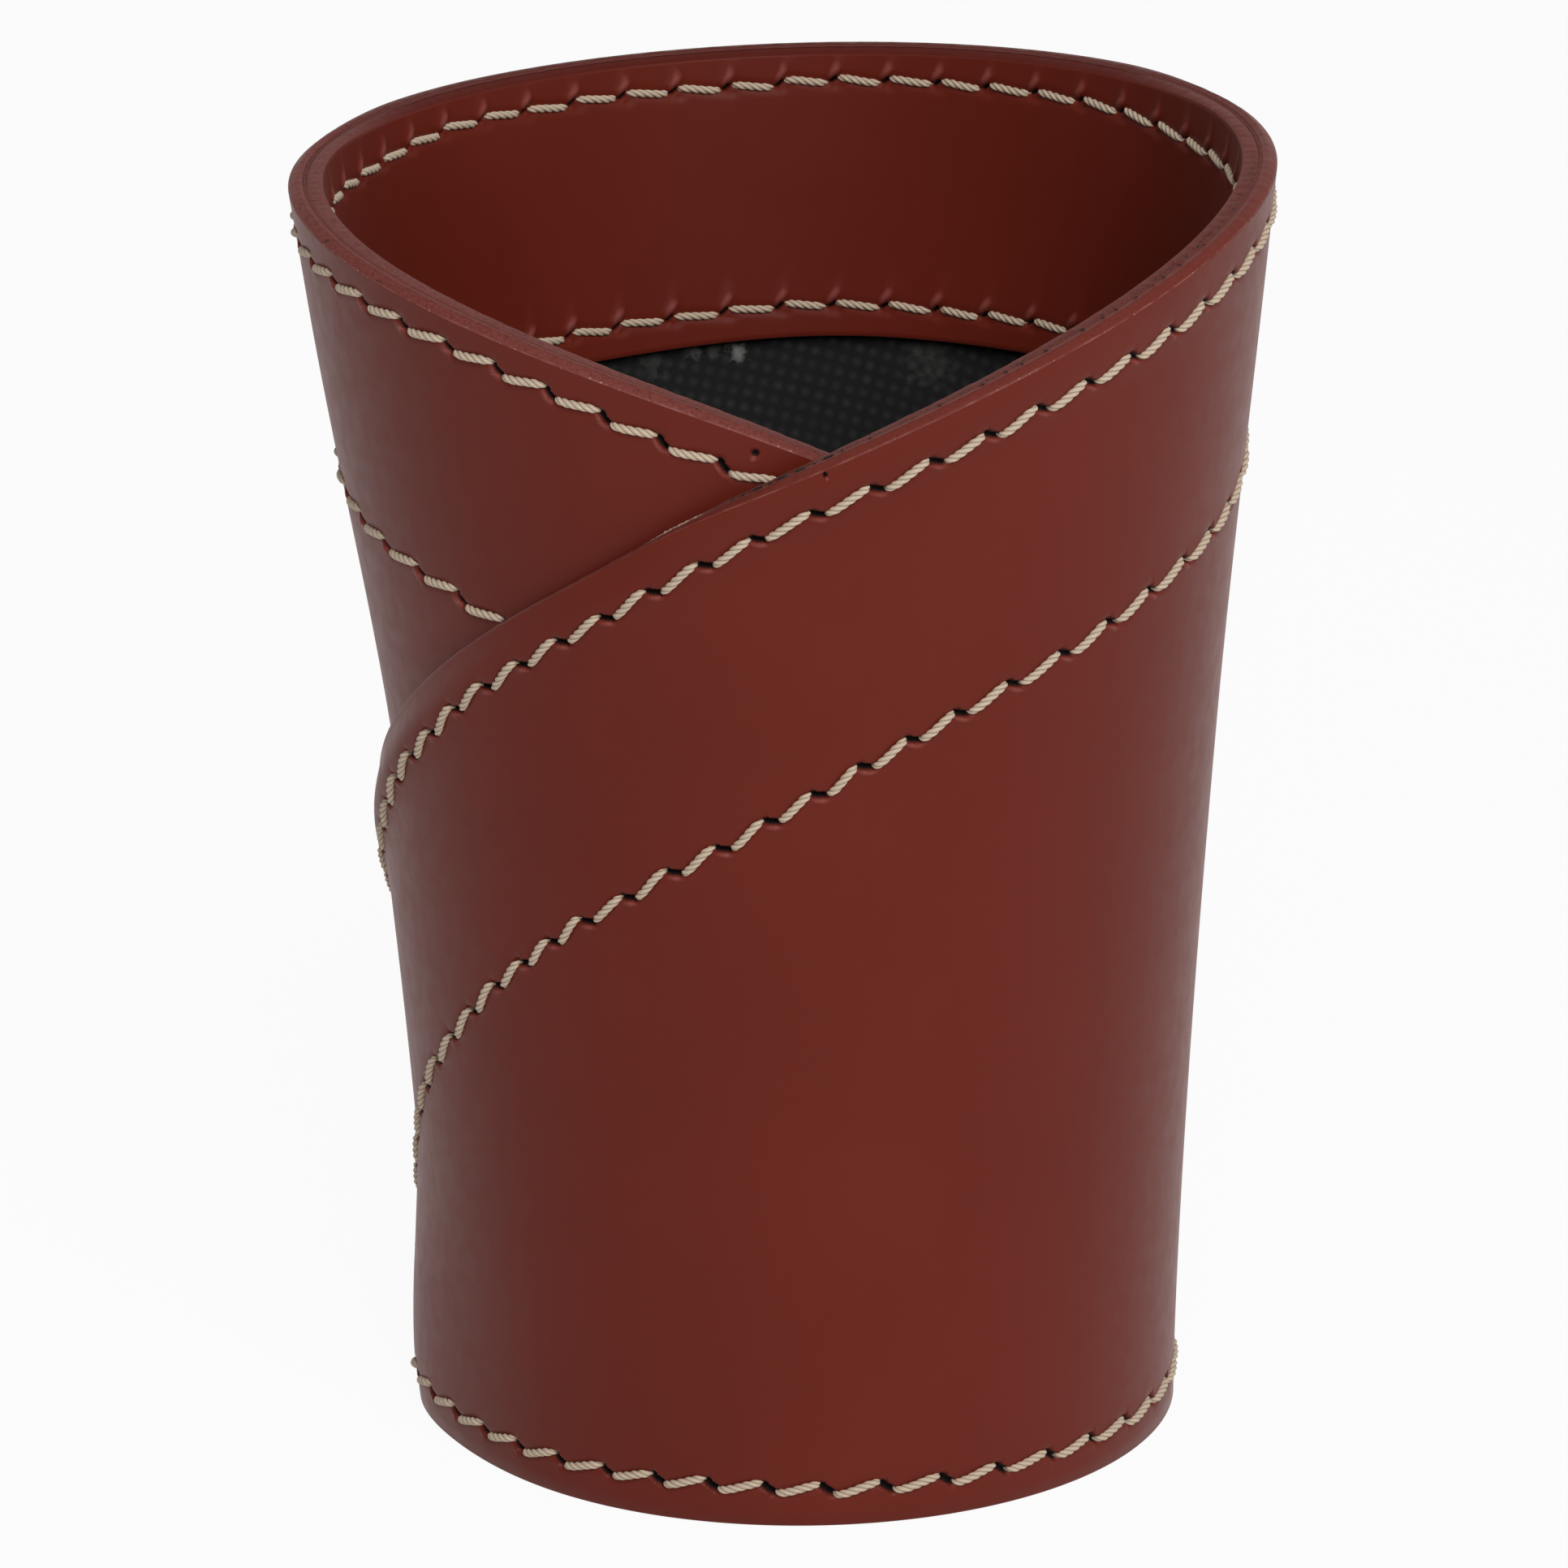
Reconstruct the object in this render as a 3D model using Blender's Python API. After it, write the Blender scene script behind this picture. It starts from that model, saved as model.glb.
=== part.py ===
"""Pen holder cup: a leather blank wrapped twice round a base, its two wings crossing in front.

Angles are wrap angles in degrees. Zero is the middle of the back, 90 the right side, 180 the front and 270 the left
side on the outer wing; the under wing runs the other way, to -90 on the left and -180 in front. Lengths are metres.
"""

import math

import bmesh
import bpy
from mathutils import Vector

MM = 0.001

# Cup: outer face of the leather, with the small lean and tilt of a rim that was wrapped by hand
CUP_HEIGHT = 105.0 * MM
FOOT_RADIUS = 30.6 * MM
RIM_RADIUS = 39.5 * MM
FLARE_POWER = 1.47
RIM_LEAN = -1.2 * MM
RIM_TILT = 0.019
FOOT_CENTRE = (1.1 * MM, -0.55 * MM)

# Blank: level over the back, then falling along both wings to a blunt tip at the foot
LEVEL_HALF_ANGLE = 72.6
BLANK_TURN = -3.6
HALF_WRAP = 346.0
TIP_HEIGHT = 8.0 * MM

# Plies, from the outer face inwards
LEATHER = 1.2 * MM
BACKING = 0.2 * MM
BAND = 1.1 * MM
PLY_GAP = 0.05 * MM
WING_GAP = 0.2 * MM

# Facing band along the edge, and how the wings settle over it
BAND_WIDTH = 26.5 * MM
BAND_OUTWARD_SHARE = 0.65
BAND_SETTLE_START = 12.0 * MM
BAND_SETTLE_LENGTH = 12.0 * MM
BAND_TIP_HEIGHT = 4.0 * MM
WING_SETTLE_LENGTH = 40.0 * MM

# Base, from the foot up
FLANGE_HEIGHT = 7.0 * MM
BASE_LEATHER = 1.2 * MM
BOARD = 2.0 * MM
FLOOR_LINING = 0.3 * MM
BASE_GAP = 0.1 * MM
BASE_CLEARANCE = 0.2 * MM
BAND_FOOT_CLEARANCE = 1.0 * MM

# Seams
EDGE_ROW_INSET = 3.7 * MM
BAND_ROW_MARGIN = 2.5 * MM
FOOT_ROW_HEIGHT = 3.0 * MM
STITCH_PITCH = 4.9 * MM
STITCH_GAP = 0.9 * MM
STITCH_SLANT = 0.3 * MM
THREAD_RADIUS = 0.33 * MM
THREAD_CLEARANCE = 0.12 * MM
SEAM_END_MARGIN = 1.6 * MM

# Facets
COLUMNS_PER_TURN = 48
LEVEL_STEP = 12.0 * MM
FOOT_LEVEL = 5.0 * MM
LEAST_FACET = 1.5 * MM
ROW_SAMPLE_STEP = 1.0
SHARP_ANGLE = math.radians(40)

# Worked out from the sizes above
FULL_TURN = 360.0
FRONT = 180.0
BACK_BEARING = 90.0
COLUMN_STEP = FULL_TURN / COLUMNS_PER_TURN
TIP_OVER = COLUMN_STEP * round((BLANK_TURN + HALF_WRAP) / COLUMN_STEP)
TIP_UNDER = COLUMN_STEP * round((BLANK_TURN - HALF_WRAP) / COLUMN_STEP)
EDGE_DROP = (CUP_HEIGHT - TIP_HEIGHT) / (HALF_WRAP - LEVEL_HALF_ANGLE) ** 2
BACKING_FACE = LEATHER + PLY_GAP
SHEET_DEPTH = BACKING_FACE + BACKING
BAND_FACE = SHEET_DEPTH + PLY_GAP
RIM_DEPTH = BAND_FACE + BAND
TURN_PITCH = SHEET_DEPTH + WING_GAP
BAND_STEP = RIM_DEPTH - SHEET_DEPTH
CAP_TOP = FLANGE_HEIGHT + BASE_LEATHER
BOARD_BOTTOM = CAP_TOP + BASE_GAP
BOARD_TOP = BOARD_BOTTOM + BOARD
LINING_BOTTOM = BOARD_TOP + BASE_GAP
FLOOR_TOP = LINING_BOTTOM + FLOOR_LINING
BAND_FOOT = FLOOR_TOP + BAND_FOOT_CLEARANCE
BAND_ROW_INSET = BAND_WIDTH - BAND_ROW_MARGIN
THREAD_LIFT = THREAD_RADIUS + THREAD_CLEARANCE

# Colours as linear RGB, and roughness
LEATHER_COLOUR = (0.130, 0.026, 0.019)
LEATHER_ROUGHNESS = 0.42
BAND_ROUGHNESS = 0.45
BASE_ROUGHNESS = 0.5
FABRIC_COLOUR = (0.010, 0.010, 0.010)
FABRIC_ROUGHNESS = 0.9
BOARD_COLOUR = (0.250, 0.220, 0.180)
BOARD_ROUGHNESS = 0.95
THREAD_COLOUR = (0.560, 0.470, 0.330)
THREAD_ROUGHNESS = 0.75


def smooth_step(share):
    share = min(max(share, 0.0), 1.0)
    return share * share * (3.0 - 2.0 * share)


def profile_radius(height):
    """Outer radius of the flared cup before any wing is laid over another."""
    share = max(height, 0.0) / CUP_HEIGHT
    return FOOT_RADIUS + (RIM_RADIUS - FOOT_RADIUS) * share ** FLARE_POWER


def past_level(angle):
    """Degrees past the level stretch of the blank's top edge."""
    return max(0.0, abs(angle - BLANK_TURN) - LEVEL_HALF_ANGLE)


def edge_height(angle):
    return CUP_HEIGHT - EDGE_DROP * past_level(angle) ** 2


def edge_stretch(angle):
    """Steepness of the top edge: its fall per metre run, and metres along it per metre run."""
    run_per_degree = math.radians(1.0) * profile_radius(edge_height(angle))
    fall = 2.0 * EDGE_DROP * past_level(angle) / run_per_degree
    return fall, math.hypot(1.0, fall)


def band_bottom(angle):
    return max(edge_height(angle) - BAND_WIDTH * edge_stretch(angle)[1], BAND_FOOT)


def band_cover(angle, height):
    """One where the facing band lies inside the sheet, settling to zero below it and at the foot."""
    below_edge = (edge_height(angle) - height) / edge_stretch(angle)[1]
    past_band = below_edge - BAND_WIDTH - BAND_SETTLE_START
    over_foot = (height - FOOT_LEVEL) / (BAND_FOOT - FOOT_LEVEL)
    return (1.0 - smooth_step(past_band / BAND_SETTLE_LENGTH)) * smooth_step(over_foot)


def overlap(angle, height):
    """One where two turns of the sheet lie on each other, fading above the neighbouring turn's edge."""
    neighbour_edge = max(edge_height(angle - FULL_TURN), edge_height(angle + FULL_TURN))
    return 1.0 - smooth_step((height - neighbour_edge) / WING_SETTLE_LENGTH)


def wrap_shift(angle, height):
    """How far the wrap moves the outer face outwards, so that turns lie on each other."""
    spiral = TURN_PITCH * (angle - FRONT) / FULL_TURN
    inner_turn_angle = angle - FULL_TURN
    outer_turn_angle = angle + FULL_TURN
    if inner_turn_angle >= TIP_UNDER:
        spiral += BAND_OUTWARD_SHARE * BAND_STEP * band_cover(angle, height)
    if outer_turn_angle <= TIP_OVER:
        spiral -= (1.0 - BAND_OUTWARD_SHARE) * BAND_STEP * band_cover(outer_turn_angle, height)
    return spiral * overlap(angle, height)


def height_levels():
    """Heights at which every column of facets has its points, from the foot to above the rim."""
    levels = [0.0, FOOT_LEVEL, BAND_FOOT]
    while levels[-1] < CUP_HEIGHT:
        levels.append(levels[-1] + LEVEL_STEP)
    return levels


LEVELS = height_levels()


def column_radius(angle, height):
    """Outer face radius on a column of facets, straight between two levels."""
    upper = next((k for k, level in enumerate(LEVELS) if k and height <= level), len(LEVELS) - 1)
    low, high = LEVELS[upper - 1], LEVELS[upper]
    share = (height - low) / (high - low)
    low_radius = profile_radius(low) + wrap_shift(angle, low)
    high_radius = profile_radius(high) + wrap_shift(angle, high)
    return low_radius + (high_radius - low_radius) * share


def face_radius(angle, height):
    """Outer face radius anywhere on the sheet, between its columns of facets."""
    before = COLUMN_STEP * math.floor(angle / COLUMN_STEP)
    share = (angle - before) / COLUMN_STEP
    radius = column_radius(before, height)
    if share > 0.0:
        radius += (column_radius(before + COLUMN_STEP, height) - radius) * share
    return radius


def place(angle, height, radius):
    """Point of the cup at a wrap angle, a height and a radius, with the rim's lean and tilt."""
    turn = math.radians(BACK_BEARING - angle)
    share = height / CUP_HEIGHT
    across = radius * math.cos(turn)
    return Vector((
        FOOT_CENTRE[0] + across + RIM_LEAN * share ** 2,
        FOOT_CENTRE[1] + radius * math.sin(turn),
        height + RIM_TILT * across * share,
    ))


def on_sheet(angle, height, depth):
    return place(angle, height, face_radius(angle, height) - depth)


def make_material(name, colour, roughness):
    material = bpy.data.materials.new(name)
    material.use_nodes = True
    shader = material.node_tree.nodes["Principled BSDF"]
    shader.inputs["Base Color"].default_value = (*colour, 1.0)
    shader.inputs["Roughness"].default_value = roughness
    shader.inputs["Metallic"].default_value = 0.0
    return material


def add_object(name, data, material):
    data.materials.append(material)
    piece = bpy.data.objects.new(name, data)
    piece.parent = bpy.data.objects["cup"]
    bpy.context.scene.collection.objects.link(piece)
    return piece


def finish_mesh(name, mesh_maker, material):
    bmesh.ops.recalc_face_normals(mesh_maker, faces=mesh_maker.faces[:])
    mesh = bpy.data.meshes.new(name)
    mesh_maker.to_mesh(mesh)
    mesh_maker.free()
    mesh.shade_smooth()
    mesh.set_sharp_from_angle(angle=SHARP_ANGLE)
    return add_object(name, mesh, material)


def column_heights(bottom, top):
    """Heights of one column's points: its ends, and the levels that lie well between them."""
    between = [level for level in LEVELS if bottom + LEAST_FACET < level < top - LEAST_FACET]
    return [bottom, *between, top]


def join_columns(mesh_maker, left, right):
    """Faces between two columns of (height, vertex) pairs, square where their levels agree."""
    i = 0
    j = 0
    while i < len(left) - 1 or j < len(right) - 1:
        step_left = i < len(left) - 1
        step_right = j < len(right) - 1
        if step_left and step_right and left[i + 1][0] != right[j + 1][0]:
            both_tops = i == len(left) - 2 and j == len(right) - 2
            step_left = both_tops or left[i + 1][0] < right[j + 1][0]
            step_right = both_tops or not step_left
        corners = [left[i][1], right[j][1]]
        if step_right:
            j += 1
            corners.append(right[j][1])
        if step_left:
            i += 1
            corners.append(left[i][1])
        mesh_maker.faces.new(corners)


def make_sheet(name, first, last, bottom_at, top_at, depth, thickness, material):
    """A ply of the wrap: its outer face at a depth below the leather's, then extruded inwards."""
    mesh_maker = bmesh.new()
    count = round((last - first) / COLUMN_STEP)
    columns = []
    inward = {}
    for k in range(count + 1):
        angle = first + k * COLUMN_STEP
        column = []
        for height in column_heights(bottom_at(angle), top_at(angle)):
            outer = on_sheet(angle, height, depth)
            vertex = mesh_maker.verts.new(outer)
            inward[vertex] = on_sheet(angle, height, depth + thickness)
            column.append((height, vertex))
        columns.append(column)
    for left, right in zip(columns, columns[1:]):
        join_columns(mesh_maker, left, right)
    inner_at = {vertex.co.copy().freeze(): point for vertex, point in inward.items()}
    grown = bmesh.ops.extrude_face_region(mesh_maker, geom=mesh_maker.faces[:], use_keep_orig=True)
    for part in grown["geom"]:
        if isinstance(part, bmesh.types.BMVert):
            part.co = inner_at[part.co.copy().freeze()]
    return finish_mesh(name, mesh_maker, material)


def inner_turn(position):
    """Wrap angle of the innermost turn at a position round the cup."""
    return position - FULL_TURN * math.floor((position - TIP_UNDER) / FULL_TURN)


def base_outline(height, inset):
    """Ring of points just inside the innermost turn of the sheet."""
    points = []
    for k in range(COLUMNS_PER_TURN):
        position = k * COLUMN_STEP
        angle = inner_turn(position)
        radius = face_radius(angle, height) - SHEET_DEPTH - BASE_CLEARANCE - inset
        points.append(place(angle, height, radius))
    return points


def make_lofted(name, rings, material):
    """A closed body through rings of equal count, with flat ends."""
    mesh_maker = bmesh.new()
    loops = []
    for ring in rings:
        vertices = [mesh_maker.verts.new(point) for point in ring]
        loops.append(vertices)
    for lower, upper in zip(loops, loops[1:]):
        for k in range(len(lower)):
            mesh_maker.faces.new((lower[k - 1], lower[k], upper[k], upper[k - 1]))
    mesh_maker.faces.new(loops[0])
    mesh_maker.faces.new(loops[-1])
    bmesh.ops.triangulate(mesh_maker, faces=[face for face in mesh_maker.faces if len(face.verts) > 4])
    return finish_mesh(name, mesh_maker, material)


def make_disc(name, bottom, top, material):
    return make_lofted(name, [base_outline(bottom, 0.0), base_outline(top, 0.0)], material)


def make_base_cap(material):
    """Leather disc with its rim turned down to the foot."""
    rings = [
        base_outline(FLANGE_HEIGHT, BASE_LEATHER),
        base_outline(0.0, BASE_LEATHER),
        base_outline(0.0, 0.0),
        base_outline(CAP_TOP, 0.0),
    ]
    return make_lofted("base_cap", rings, material)


def row_place(angle, inset):
    """Wrap angle and height of the point a distance below the top edge, square to it."""
    fall, stretch = edge_stretch(angle)
    height = edge_height(angle) - inset / stretch
    back = math.degrees(inset * fall / stretch / profile_radius(height))
    side = math.copysign(1.0, angle - BLANK_TURN)
    return angle - side * back, height


def shows_outside(angle, height):
    """Whether no outer turn covers this point of the outer face."""
    covering = angle + FULL_TURN
    return covering > TIP_OVER or edge_height(covering) + SEAM_END_MARGIN < height


def shows_inside(angle, height):
    """Whether no inner turn covers this point of the inner face."""
    covering = angle - FULL_TURN
    return covering < TIP_UNDER or edge_height(covering) + SEAM_END_MARGIN < height


def seam_run(inset, shows):
    """Edge angles of the stretch of a row that is open to view and has the band behind it."""
    angles = []
    for k in range(round((TIP_OVER - TIP_UNDER) / ROW_SAMPLE_STEP) + 1):
        edge_angle = TIP_UNDER + k * ROW_SAMPLE_STEP
        angle, height = row_place(edge_angle, inset)
        on_band = height > BAND_FOOT + SEAM_END_MARGIN
        if on_band and TIP_UNDER < angle < TIP_OVER and shows(angle, height):
            angles.append(edge_angle)
    return angles[0], angles[-1]


def spaced(point_at, first, last):
    """Row parameters at the start and the end of each stitch float, evenly spaced along the row."""
    steps = max(2, round((last - first) / ROW_SAMPLE_STEP))
    marks = [first + (last - first) * k / steps for k in range(steps + 1)]
    places = [point_at(mark, 0.0) for mark in marks]
    lengths = [0.0]
    for before, after in zip(places, places[1:]):
        lengths.append(lengths[-1] + (after - before).length)
    count = max(1, int(lengths[-1] / STITCH_PITCH))
    pitch = lengths[-1] / count
    found = []
    for k in range(count):
        middle = (k + 0.5) * pitch
        for side in (-0.5, 0.5):
            wanted = middle + side * (pitch - STITCH_GAP)
            n = next(n for n in range(1, len(lengths)) if lengths[n] >= wanted)
            share = (wanted - lengths[n - 1]) / (lengths[n] - lengths[n - 1])
            found.append((marks[n - 1] + (marks[n] - marks[n - 1]) * share, side))
    return found


def make_thread(name, point_at, first, last, material):
    """One thread of a lockstitch row: a tube whose floats lie aslant between their holes."""
    curve = bpy.data.curves.new(name, "CURVE")
    curve.dimensions = "3D"
    curve.bevel_depth = THREAD_RADIUS
    curve.bevel_resolution = 0
    curve.use_fill_caps = True
    stitches = spaced(point_at, first, last)
    spline = curve.splines.new("POLY")
    spline.points.add(len(stitches) - 1)
    for point, (mark, side) in zip(spline.points, stitches):
        point.co = (*point_at(mark, 2.0 * side * STITCH_SLANT), 1.0)
    return add_object(name, curve, material)


def make_row_threads(seam, inset, material):
    """Needle thread outside and bobbin thread inside for a row that follows the top edge."""
    def outside(edge_angle, slant):
        return on_sheet(*row_place(edge_angle, inset + slant), -THREAD_LIFT)

    def inside(edge_angle, slant):
        return on_sheet(*row_place(edge_angle, inset + slant), RIM_DEPTH + THREAD_LIFT)

    make_thread(f"{seam}_needle_thread", outside, *seam_run(inset, shows_outside), material)
    make_thread(f"{seam}_bobbin_thread", inside, *seam_run(inset, shows_inside), material)


def make_foot_threads(material):
    """Needle thread round the foot of the outer turn, and bobbin thread inside the base cap's rim."""
    end_angle = math.degrees(SEAM_END_MARGIN / FOOT_RADIUS)

    def outside(angle, slant):
        return on_sheet(angle, FOOT_ROW_HEIGHT + slant, -THREAD_LIFT)

    def inside(angle, slant):
        height = FOOT_ROW_HEIGHT + slant
        depth = SHEET_DEPTH + BASE_CLEARANCE + BASE_LEATHER + THREAD_LIFT
        return on_sheet(angle, height, depth)

    make_thread(
        "foot_seam_needle_thread", outside,
        TIP_OVER - FULL_TURN + end_angle, TIP_OVER - end_angle, material,
    )
    make_thread(
        "foot_seam_bobbin_thread", inside,
        TIP_UNDER + COLUMN_STEP, TIP_UNDER + FULL_TURN - 2.0 * COLUMN_STEP, material,
    )


def build():
    for old in list(bpy.data.objects):
        bpy.data.objects.remove(old, do_unlink=True)
    cup = bpy.data.objects.new("cup", None)
    bpy.context.scene.collection.objects.link(cup)

    leather = make_material("red_brown_leather", LEATHER_COLOUR, LEATHER_ROUGHNESS)
    band_leather = make_material("red_brown_band_leather", LEATHER_COLOUR, BAND_ROUGHNESS)
    base_leather = make_material("red_brown_base_leather", LEATHER_COLOUR, BASE_ROUGHNESS)
    backing = make_material("black_backing_fabric", FABRIC_COLOUR, FABRIC_ROUGHNESS)
    floor_fabric = make_material("black_floor_fabric", FABRIC_COLOUR, FABRIC_ROUGHNESS)
    board = make_material("grey_board", BOARD_COLOUR, BOARD_ROUGHNESS)
    thread = make_material("cream_thread", THREAD_COLOUR, THREAD_ROUGHNESS)

    def foot(angle):
        return 0.0

    make_sheet("leather_wrap", TIP_UNDER, TIP_OVER, foot, edge_height, 0.0, LEATHER, leather)
    make_sheet("fabric_backing", TIP_UNDER, TIP_OVER, foot, edge_height, BACKING_FACE, BACKING, backing)
    band_columns = [
        TIP_UNDER + k * COLUMN_STEP
        for k in range(round((TIP_OVER - TIP_UNDER) / COLUMN_STEP) + 1)
        if edge_height(TIP_UNDER + k * COLUMN_STEP) > BAND_FOOT + BAND_TIP_HEIGHT
    ]
    make_sheet(
        "facing_band", band_columns[0], band_columns[-1], band_bottom, edge_height, BAND_FACE, BAND, band_leather,
    )
    make_base_cap(base_leather)
    make_disc("base_board", BOARD_BOTTOM, BOARD_TOP, board)
    make_disc("floor_lining", LINING_BOTTOM, FLOOR_TOP, floor_fabric)
    make_row_threads("edge_seam", EDGE_ROW_INSET, thread)
    make_row_threads("band_seam", BAND_ROW_INSET, thread)
    make_foot_threads(thread)


build()
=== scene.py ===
"""Looks of the pen holder cup: its leather, lining, seams, floor, light and camera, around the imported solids.

Wrap angles are degrees: zero is the middle of the back, 90 the right side, 180 the front and 270 the left
side on the outer wing; the under wing runs the other way, to -90 on the left and -180 in front. A mark is
the wrap angle of a point on the blank's top edge, and an inset is a distance below that edge, square to it.
A ramp is a start and a length over which a share rises from zero to one, and a spot is a mark and a reach.
Lengths are metres.
"""

import math
from collections import namedtuple

import bpy
import numpy as np
from mathutils import Matrix, Vector


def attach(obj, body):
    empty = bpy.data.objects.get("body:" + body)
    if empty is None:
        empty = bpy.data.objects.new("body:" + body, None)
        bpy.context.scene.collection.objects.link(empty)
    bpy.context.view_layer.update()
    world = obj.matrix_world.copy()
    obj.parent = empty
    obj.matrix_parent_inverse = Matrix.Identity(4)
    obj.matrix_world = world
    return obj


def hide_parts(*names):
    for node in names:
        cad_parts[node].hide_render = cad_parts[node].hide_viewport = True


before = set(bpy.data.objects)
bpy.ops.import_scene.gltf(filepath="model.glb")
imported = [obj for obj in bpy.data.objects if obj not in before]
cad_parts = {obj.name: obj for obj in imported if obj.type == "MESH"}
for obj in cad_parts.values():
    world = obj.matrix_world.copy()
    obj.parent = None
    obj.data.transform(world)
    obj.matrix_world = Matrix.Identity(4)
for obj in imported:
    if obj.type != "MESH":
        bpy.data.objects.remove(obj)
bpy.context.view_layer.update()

MM = 0.001


def in_mm(*entries):
    """Pairs of a mark and a length, the lengths given in millimetres."""
    return tuple((mark, length * MM) for mark, length in entries)


FULL_TURN = 360.0
FRONT = 180.0
BACK_BEARING = 90.0

# Cup and blank, as in the solids
CUP_HEIGHT = 105.0 * MM
FOOT_RADIUS = 30.6 * MM
RIM_RADIUS = 39.5 * MM
FLARE_POWER = 1.47
RIM_LEAN = -1.2 * MM
RIM_TILT = 0.019
FOOT_CENTRE = (1.1 * MM, -0.55 * MM)
LEVEL_HALF_ANGLE = 72.6
BLANK_TURN = -3.6
HALF_WRAP = 346.0
TIP_HEIGHT = 8.0 * MM
TIP_OVER = 345.0
TIP_UNDER = -352.5
EDGE_DROP = (CUP_HEIGHT - TIP_HEIGHT) / (HALF_WRAP - LEVEL_HALF_ANGLE) ** 2

# Where the cut top edge strays from the blank's plain line
RIM_RISE = 0.35 * MM
RIM_RISE_SPOT = (45.0, 45.0)
FLAP_DROP = 0.65 * MM
FLAP_DROP_RAMP = (186.0, 24.0)
FLAP_DROP_END = (260.0, 40.0)

# Plies, from the outer face inwards
LEATHER = 1.2 * MM
BACKING = 0.2 * MM
BAND = 1.3 * MM
PLY_GAP = 0.05 * MM
WING_GAP = 0.2 * MM
BACKING_FACE = LEATHER + PLY_GAP
SHEET_DEPTH = BACKING_FACE + BACKING
BAND_FACE = SHEET_DEPTH + PLY_GAP
RIM_DEPTH = BAND_FACE + BAND
TURN_PITCH = SHEET_DEPTH + WING_GAP
BAND_STEP = RIM_DEPTH - SHEET_DEPTH
ARRIS = 0.12 * MM

# Cut edges: how far a ply's corner is cut away below the edge and into the ply
BEVEL = (0.55 * MM, 0.85 * MM)
GROOVE_CORNER = (0.24 * MM, 0.4 * MM)
INSIDE_CORNER = (0.18 * MM, 0.25 * MM)
INSIDE_CORNER_REACH = 0.6 * MM
CLOTH_CORNER = (0.03 * MM, 0.07 * MM)
CORNER_POWER = 1.3
CORNER_STEPS = 6
GROOVE_RAMP = (80.0, 26.0)
GROOVE_LEAST = 0.1
BACK_RAMP = (50.0, 26.0)
BACK_ROUNDING = 1.6
BACK_SLOPE = 3.2
BACK_BEVEL = 0.2
BACK_GROOVE = 0.3
# Share of the rim's cut edge round the back turned dark red: edge paint, made darker as painted shade so the
# lit top does not show lighter than the inner wall
BACK_PAINT_AND_SHADE = 0.95
RIGHT_RAMP = (20.0, 60.0)
# Share by which the cut edge on the right is turned back to the darker face colour: painted shade that tones
# down the sheen on its top
RIGHT_PAINT_AND_SHADE = 0.7
FLAP_BEVEL = 0.35
FLAP_BEVEL_RAMP = (174.0, 24.0)
BACKING_RECESS = 0.26 * MM
BAND_RECESS = 0.08 * MM
PAINT_REACH = 0.7 * MM
CUT_WAVES = (0.9, 1.7, 3.1)
CUT_WAVE_HEIGHT = 0.035 * MM

# Scuffs, dashes of cloth and frayed fibres in the right wing's edge: first and last mark, and fade
SCUFF_RUN = (88.0, 190.0, 12.0)
SCUFF_ROWS = 6
DASH_RUN = (100.0, 192.0, 8.0)
DASH_WAVES = (2.3, 3.7, 5.9)
DASH_LEVEL = 0.56
DASH_EDGE = 0.08
DASH_HEIGHT = 0.1 * MM
CROSSING_SPOT = (182.0, 9.0)
CROSSING_DASH = 0.65
FRAY_SPOT = (194.0, 3.6)
FRAY_POWER = 4
FRAY_HEIGHT = 0.13 * MM
FRAY_WAVES = (3.1, 6.7, 11.3)
FRAY_MEAN = 0.75
FRAY_SWING = 0.5

# Facing band, and how the wings settle over it
BAND_WIDTH = 26.5 * MM
BAND_SETTLE_START = 12.0 * MM
BAND_SETTLE_LENGTH = 12.0 * MM
WING_SETTLE_LENGTH = 40.0 * MM
EDGE_OUTWARD_SHARE = 0.68
EDGE_BULGE_RAMP = (0.6 * MM, 6.0 * MM)
TUCK = 1.2 * MM
TUCK_REACH = 3.2 * MM
SKIVE = 0.3 * MM
SKIVE_REACH = 10.0 * MM
TUCK_RAMP = (183.0, 20.0)

# Hand-made unevenness of the cup
FOOT_SPREAD = 1.65 * MM
FOOT_SPREAD_RAMP = (4.0 * MM, 22.0 * MM)
FOOT_SPREAD_POWER = 16
FOOT_SPREAD_LEAST = 0.8
FOOT_CURL_LEVEL = 3.5 * MM
RIM_PINCH = 0.3 * MM
RIM_PINCH_ANGLE = 70.0
RIM_PINCH_REACH = 30.0
RIM_PINCH_POWER = 4

# Base, from the foot up
FOOT_LEVEL = 5.0 * MM
FLANGE_HEIGHT = 7.0 * MM
BASE_LEATHER = 1.2 * MM
BOARD = 2.0 * MM
FLOOR_LINING = 0.3 * MM
BASE_GAP = 0.1 * MM
BASE_CLEARANCE = 0.2 * MM
BAND_FOOT_CLEARANCE = 1.0 * MM
CAP_TOP = FLANGE_HEIGHT + BASE_LEATHER
BOARD_BOTTOM = CAP_TOP + BASE_GAP
BOARD_TOP = BOARD_BOTTOM + BOARD
BOARD_INSET = 0.4 * MM
LINING_BOTTOM = BOARD_TOP + BASE_GAP
FLOOR_TOP = LINING_BOTTOM + FLOOR_LINING
BAND_FOOT = FLOOR_TOP + BAND_FOOT_CLEARANCE
BAND_TIP_HEIGHT = 4.0 * MM
CAP_BEND = 1.2 * MM
CAP_OUTER_CORNER = (0.3 * MM, 0.3 * MM)
CAP_INNER_CORNER = (0.4 * MM, 0.3 * MM)
CAP_REACH = 20.0 * MM
DISC_REACH = 15.0 * MM
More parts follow.
